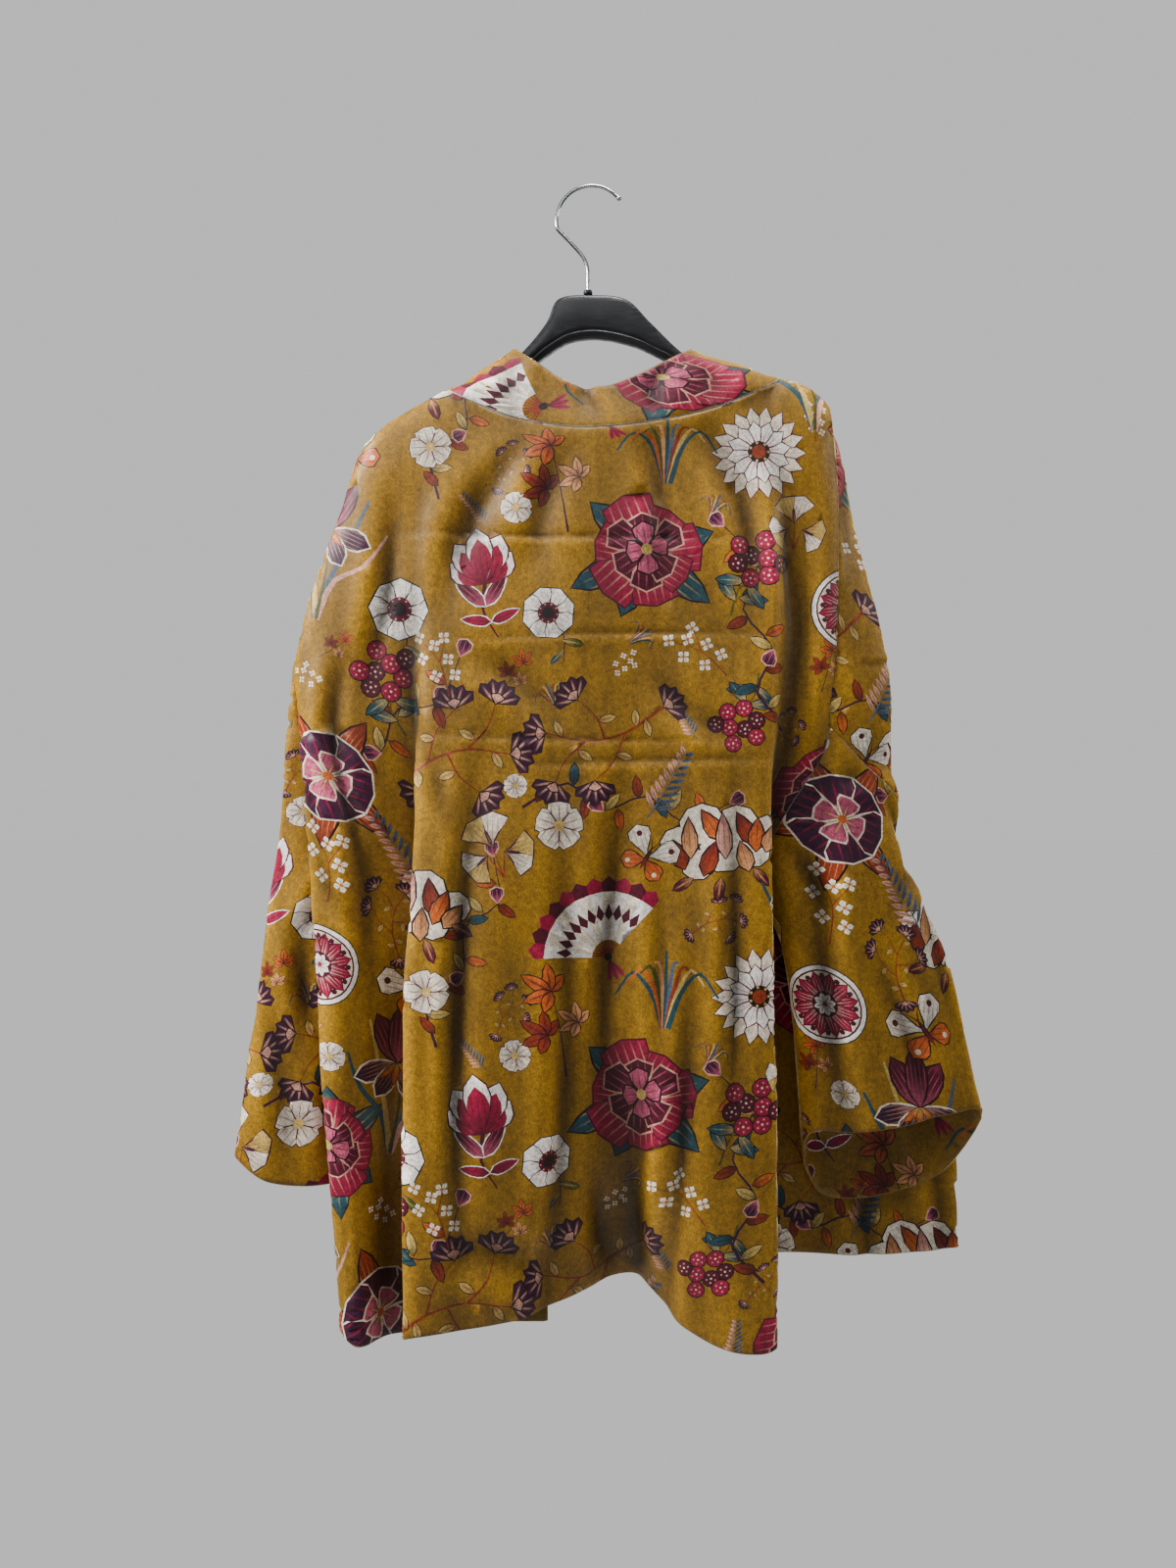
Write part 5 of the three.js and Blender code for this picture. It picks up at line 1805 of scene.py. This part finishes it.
    def panel_pattern(self, grid: Points, middle: int) -> Pattern:
        """Flat pattern of a body panel.

        Args:
            grid: Its coarse grid.
            middle: Column that stays straight in the pattern, at its own place across.

        Returns:
            The pattern, with its top and sides sewn.
        """
        fine = refined(grid, self.row_steps, self.column_steps, False)
        level = self.hang.rows[0] * self.row_steps
        down = -fine[..., 2].copy()
        steps = np.linalg.norm(np.diff(fine[:level + 1], axis=0), axis=2)
        down[:level] = down[level] - np.cumsum(steps[::-1], axis=0)[::-1]
        return Pattern(fine, self.lengths(fine, middle * self.column_steps, True), down, ("top", "left", "right"))

    @staticmethod
    def lengths(fine: Points, middle: int, hung: bool) -> Points:
        """Lengths across, level with the floor, from one column."""
        steps = np.linalg.norm(np.diff(fine[..., :2], axis=1), axis=2)
        across = np.concatenate([np.zeros((len(fine), 1)), np.cumsum(steps, axis=1)], axis=1)
        across = across - across[:, middle:middle + 1]
        return across + fine[:, middle:middle + 1, 0] if hung else across

    def tube_pattern(self, grid: Points, seam: int, middle: int) -> Pattern:
        """Flat pattern of a sleeve, opened along its underarm.

        Args:
            grid: Its coarse grid.
            seam: Column at the underarm.
            middle: Column at the overarm, from which lengths across are taken.

        Returns:
            The pattern, with its armhole and underarm sewn.
        """
        fine = refined(grid, self.row_steps, self.column_steps, True)
        turned = np.roll(fine, -seam * self.column_steps, axis=1)
        opened = np.concatenate([turned, turned[:, :1]], axis=1)
        column = (middle - seam) % grid.shape[1] * self.column_steps
        return Pattern(opened, self.lengths(opened, column, False), -opened[..., 2], ("top", "left", "right"))

    def band_pattern(self, grid: Points) -> Pattern:
        """Flat pattern of the neck band, a straight strip."""
        fine = refined(grid, self.row_steps, self.column_steps, False)
        across = np.concatenate([np.zeros((len(fine), 1)),
                                 np.cumsum(np.linalg.norm(np.diff(fine, axis=1), axis=2), axis=1)], axis=1)
        run = np.linalg.norm(np.diff(fine.mean(1), axis=0), axis=1)
        down = np.concatenate([[0], np.cumsum(run)])[:, None] + np.zeros((1, fine.shape[1]))
        return Pattern(fine, across, down, ("left",))

    def build(self) -> None:
        """Cut, print, hang and dress every piece."""
        velvet, reverse = VelvetFinish().make(), ReverseFinish().make()
        grids = self.patterns()
        mirrored = tuple(Crease(-c.x0 + 6, c.y0 + 14, -c.x1 + 6, c.y1 + 14, c.width, c.depth, -c.bend)
                         for c in self.front_creases)
        shells = (
            Shell("velvet_back", "back", self.panel_pattern(grids["back"], 21), (-60, 40), self.back_creases, 1.3,
                  0.0, True, wall=2.9, hem=3.6),
            Shell("velvet_front_left", "front_left", self.panel_pattern(grids["front_left"], 12), (90, 10),
                  self.front_creases, 1.2, 1.0, False, wall=2.4),
            Shell("velvet_front_right", "front_right", self.panel_pattern(grids["front_right"], 12), (20, 130),
                  mirrored, 1.2, 2.0, True, wall=2.4),
            Shell("velvet_sleeve_left", "sleeve_left", self.tube_pattern(grids["sleeve_left"], 10, 0), (30, 260),
                  self.left_sleeve_creases, 1.0, 3.0, True, piping=1.0, turn_up=85.0),
            Shell("velvet_sleeve_right", "sleeve_right", self.tube_pattern(grids["sleeve_right"], 10, 0), (210, 0),
                  self.right_sleeve_creases, 1.0, 4.0, False, piping=1.0, turn_up=85.0),
            Shell("velvet_neck_band", "neck_band", self.band_pattern(grids["neck_band"]), (-60, 250),
                  self.band_creases, 0.6, 5.0, True, wall=3.0, hem=3.6, hem_depth=6.0, seam_calm=12.0, piping=1.3),
        )
        for shell in shells:
            shell.build(self.yardage, velvet, reverse)


# ---- the hanger


@dataclass
class Hanger:
    """Moulded hanger with its ring and wire hook, in millimetres."""

    depth: float = 16
    wire: float = 3.5
    bow: float = 33.3
    shank_x: float = -3.7
    top_z: float = -102.6
    ring_radius: float = 4.2
    ring_height: float = 5.5
    tip_ball: float = 2.3
    arc: tuple[float, float, int] = (39.5, 192, 40)
    spine: tuple = (  # upper and lower edge, from the left tip to the right one
        ((-205, -259), (-203.5, -262)), ((-203, -252), (-197, -265)), ((-186, -235), (-181, -257)),
        ((-148, -213.5), (-146, -233)), ((-110, -192), (-105, -204)), ((-72, -163), (-58, -170)),
        ((-43, -129), (-34, -152.5)), ((-32, -107), (-20, -145)), ((0, -103), (5, -142)), ((32, -107), (40, -149)),
        ((55, -129), (62, -159)), ((93, -163), (84, -170.5)), ((140, -180), (132, -198)), ((175, -193.5), (160, -214)),
        ((194, -201), (190, -225)), ((208, -210.5), (206, -231)), ((213, -215), (213, -226)),
        ((213.6, -218), (213.6, -221)),
    )

    def build(self) -> None:
        """Make the hanger's three pieces."""
        plastic, wire = PlasticFinish().make(), WireFinish().make()
        self.dress(self.body(), "hanger_bar", "hanger_body", "hanger_plastic", plastic)
        self.dress(self.ring(), "hanger_ring", "hanger_ferrule", "hanger_plastic", plastic)
        self.dress(self.hook(), "wire_hook", "hanger_hook", "hook_wire", wire)

    @staticmethod
    def dress(shape: tuple[Points, list], name: str, node: str, slot: str, finish: Material) -> None:
        """Make a piece from points and faces, and give it its finish."""
        points, faces = shape
        mesh = bpy.data.meshes.new(name)
        mesh.from_pydata((np.asarray(points) * MM).tolist(), [], faces)
        mesh.polygons.foreach_set("use_smooth", np.ones(len(mesh.polygons), bool))
        mesh.materials.append(finish)
        declared(mesh, node)
        LOG.info("%s: %d faces", name, len(mesh.polygons))

    def body(self) -> tuple[Points, list]:
        """Bar with a smooth domed face, a thin raised lip along its lower edge and a flat underside."""
        spans = len(self.spine) - 1
        edges = curve_at(np.array(self.spine, float), np.linspace(0, spans, spans * 8 + 1))
        half = self.depth / 2
        face = [(0, 3.2), (0.5, 5.2), (1.6, 6.8), (3.4, 7.6), (8, half), (-9, 7.9), (-6.6, 7.3), (-5.9, 6.7),
                (-5.2, 6.7), (-4.7, 7.8), (-3.9, half), (-3.2, 7.8), (-2.8, 6.2), (-0.5, 6.0), (0.0, 5.2)]
        points = []
        for upper, lower in edges:
            way = lower - upper
            length = np.linalg.norm(way)
            scale = min(1.0, length / 19)
            side = [((d if k < 5 else length / scale + d) * scale, y * min(1.0, 0.35 + length / 16))
                    for k, (d, y) in enumerate(face)]
            loop = [(d, -y) for d, y in side] + [(d, y) for d, y in reversed(side)]
            points += [(*(upper + way * d / length), y) for d, y in loop]
        n = 2 * len(face)
        rings = len(edges)
        faces = [(r * n + k, (r + 1) * n + k, (r + 1) * n + (k + 1) % n, r * n + (k + 1) % n)
                 for r in range(rings - 1) for k in range(n)]
        faces += [tuple(range(n)), tuple((rings - 1) * n + k for k in range(n))[::-1]]
        return np.array(points)[:, [0, 2, 1]], faces

    def ring(self) -> tuple[Points, list]:
        """Plain ring on top of the bar, round the wire."""
        hole, low = self.wire / 2 + 0.3, self.top_z + 0.3
        profile = [
            (hole, low), (self.ring_radius, low), (self.ring_radius, low + self.ring_height - 1.4),
            (self.ring_radius - 0.5, low + self.ring_height - 0.5),
            (self.ring_radius - 1.3, low + self.ring_height), (hole, low + self.ring_height),
        ]
        sides = 32
        points, faces = [], []
        for k in range(sides):
            a = 2 * math.pi * k / sides
            points += [(self.shank_x + r * math.cos(a), r * math.sin(a), z) for r, z in profile]
        m = len(profile)
        for k in range(sides):
            j = (k + 1) % sides
            faces += [(k * m + i, j * m + i, j * m + (i + 1) % m, k * m + (i + 1) % m) for i in range(m)]
        return np.array(points), faces

    def hook(self) -> tuple[Points, list]:
        """Wire bent round a peg and down into the bar, with a small ball at its tip."""
        start, end, steps = self.arc
        middle = self.wire / 2 - self.bow
        turns = np.radians(np.linspace(start, end, steps + 1))
        path = [(self.bow * math.cos(a), 0, middle + self.bow * math.sin(a)) for a in turns]
        tail = [(-20, 0, -52), (-8, 0, -66), (-4.2, 0, -76), (self.shank_x, 0, -88),
                (self.shank_x, 0, self.top_z + 0.3)]
        tail_line = curve_at(np.array([path[-2], path[-1], *tail], float), np.linspace(1, 6, 41))[1:]
        line = np.concatenate([np.array(path), tail_line])
        ahead = np.gradient(line, axis=0)
        ahead /= np.linalg.norm(ahead, axis=1, keepdims=True)
        side = np.stack([-ahead[:, 2], ahead[:, 1] * 0, ahead[:, 0]], 1)
        sides = 16
        around = 2 * np.pi * np.arange(sides) / sides
        ball = np.array([(-2.1, 0.05), (-1.9, 1.1), (-1.2, 1.95), (0, self.tip_ball), (1.2, 1.95), (1.8, 1.76)])
        rings = [line[0] + ahead[0] * a for a, _ in ball] + [p for p in line[3:]]
        radii = [r for _, r in ball] + [self.wire / 2] * (len(line) - 3)
        axes = [side[0]] * len(ball) + [s for s in side[3:]]
        points = []
        for centre, radius, axis in zip(rings, radii, axes):
            points += [centre + radius * (math.cos(a) * axis + math.sin(a) * np.array([0, 1.0, 0])) for a in around]
        faces = [
            (r * sides + k, r * sides + (k + 1) % sides, (r + 1) * sides + (k + 1) % sides, (r + 1) * sides + k)
            for r in range(len(rings) - 1) for k in range(sides)
        ]
        last = (len(rings) - 1) * sides
        faces += [tuple(range(sides))[::-1], tuple(last + k for k in range(sides))]
        return np.array(points), faces


# ---- studio


@dataclass(frozen=True)
class Studio:
    """Pale floor, soft light and the camera, in metres."""

    floor_z: float = -2.1
    floor_reach: float = 30.0
    floor_tone: Colour = (0.65, 0.66, 0.65, 1)
    backdrop: Colour = (0.66, 0.67, 0.66, 1)
    sky: Colour = (0.8, 0.86, 0.95, 1)
    sky_strength: float = 0.11
    lights: tuple = (  # name, place, watts, width
        ("key", (-1.45, -0.55, 0.5), 48, 0.35), ("side", (1.5, -0.3, 0.3), 7, 0.4),
        ("front", (-0.3, -1.6, 0.8), 4, 0.6), ("top", (0.1, -0.35, 0.9), 15, 0.4), ("back", (0.3, 1.6, 0.2), 10, 1.4),
    )
    aim: Triple = (0, 0, -0.6)
    eye: Triple = (-0.0037, -1.090, -0.562)
    focal: float = 36 * 1180 / 1600

    def build(self) -> None:
        """Set up floor, world, lights and camera."""
        self.floor()
        world = bpy.data.worlds.new("studio")
        bpy.context.scene.world = world
        world.use_nodes = True
        tree = world.node_tree
        dim, seen = tree.nodes["Background"], tree.nodes.new("ShaderNodeBackground")
        dim.inputs[0].default_value, dim.inputs[1].default_value = self.sky, self.sky_strength
        seen.inputs[0].default_value, seen.inputs[1].default_value = self.backdrop, 1.0
        path, mix = tree.nodes.new("ShaderNodeLightPath"), tree.nodes.new("ShaderNodeMixShader")
        tree.links.new(path.outputs["Is Camera Ray"], mix.inputs[0])
        tree.links.new(dim.outputs[0], mix.inputs[1])
        tree.links.new(seen.outputs[0], mix.inputs[2])
        tree.links.new(mix.outputs[0], tree.nodes["World Output"].inputs[0])
        for name, place, power, size in self.lights:
            self.light(name, place, power, size)
        camera = bpy.data.cameras.new("camera")
        camera.lens = self.focal
        camera.sensor_width = 36
        holder = bpy.data.objects.new("camera", camera)
        holder.location = self.eye
        holder.rotation_euler = (math.radians(90), 0, 0)
        bpy.context.scene.collection.objects.link(holder)
        bpy.context.scene.camera = holder

    def floor(self) -> None:
        """Plain pale floor."""
        mesh = bpy.data.meshes.new("floor")
        corners = ((-1, -1), (1, -1), (1, 1), (-1, 1))
        mesh.from_pydata([(x * self.floor_reach, y * self.floor_reach, self.floor_z) for x, y in corners],
                         [], [(0, 1, 2, 3)])
        n = Nodes("studio_floor")
        n.set(Base_Color=(0.8, 0.8, 0.79, 1), Roughness=0.9)
        pale = n.node("ShaderNodeEmission", {"Color": self.floor_tone, "Strength": 1.0}).outputs[0]
        seen = n.node("ShaderNodeLightPath").outputs["Is Camera Ray"]
        both = n.node("ShaderNodeMixShader", {0: seen, 1: n.shader.outputs[0], 2: pale}).outputs[0]
        n.feed(n.tree.nodes["Material Output"].inputs[0], both)
        mesh.materials.append(n.material)
        floor = bpy.data.objects.new("floor", mesh)
        bpy.context.scene.collection.objects.link(floor)

    def light(self, name: str, place: Triple, power: float, size: float) -> None:
        """Soft square light that looks at the middle of the jacket."""
        lamp = bpy.data.lights.new(name, "AREA")
        lamp.energy, lamp.size = power, size
        holder = bpy.data.objects.new(name, lamp)
        holder.location = place
        holder.rotation_euler = (Vector(self.aim) - Vector(place)).to_track_quat("-Z", "Y").to_euler()
        bpy.context.scene.collection.objects.link(holder)


def main() -> None:
    """Build the studio, the hanger and the jacket."""
    logging.basicConfig(level=logging.INFO, format="%(name)s %(message)s")
    Studio().build()
    Hanger().build()
    Jacket().build()


if __name__ == "__main__":
    main()
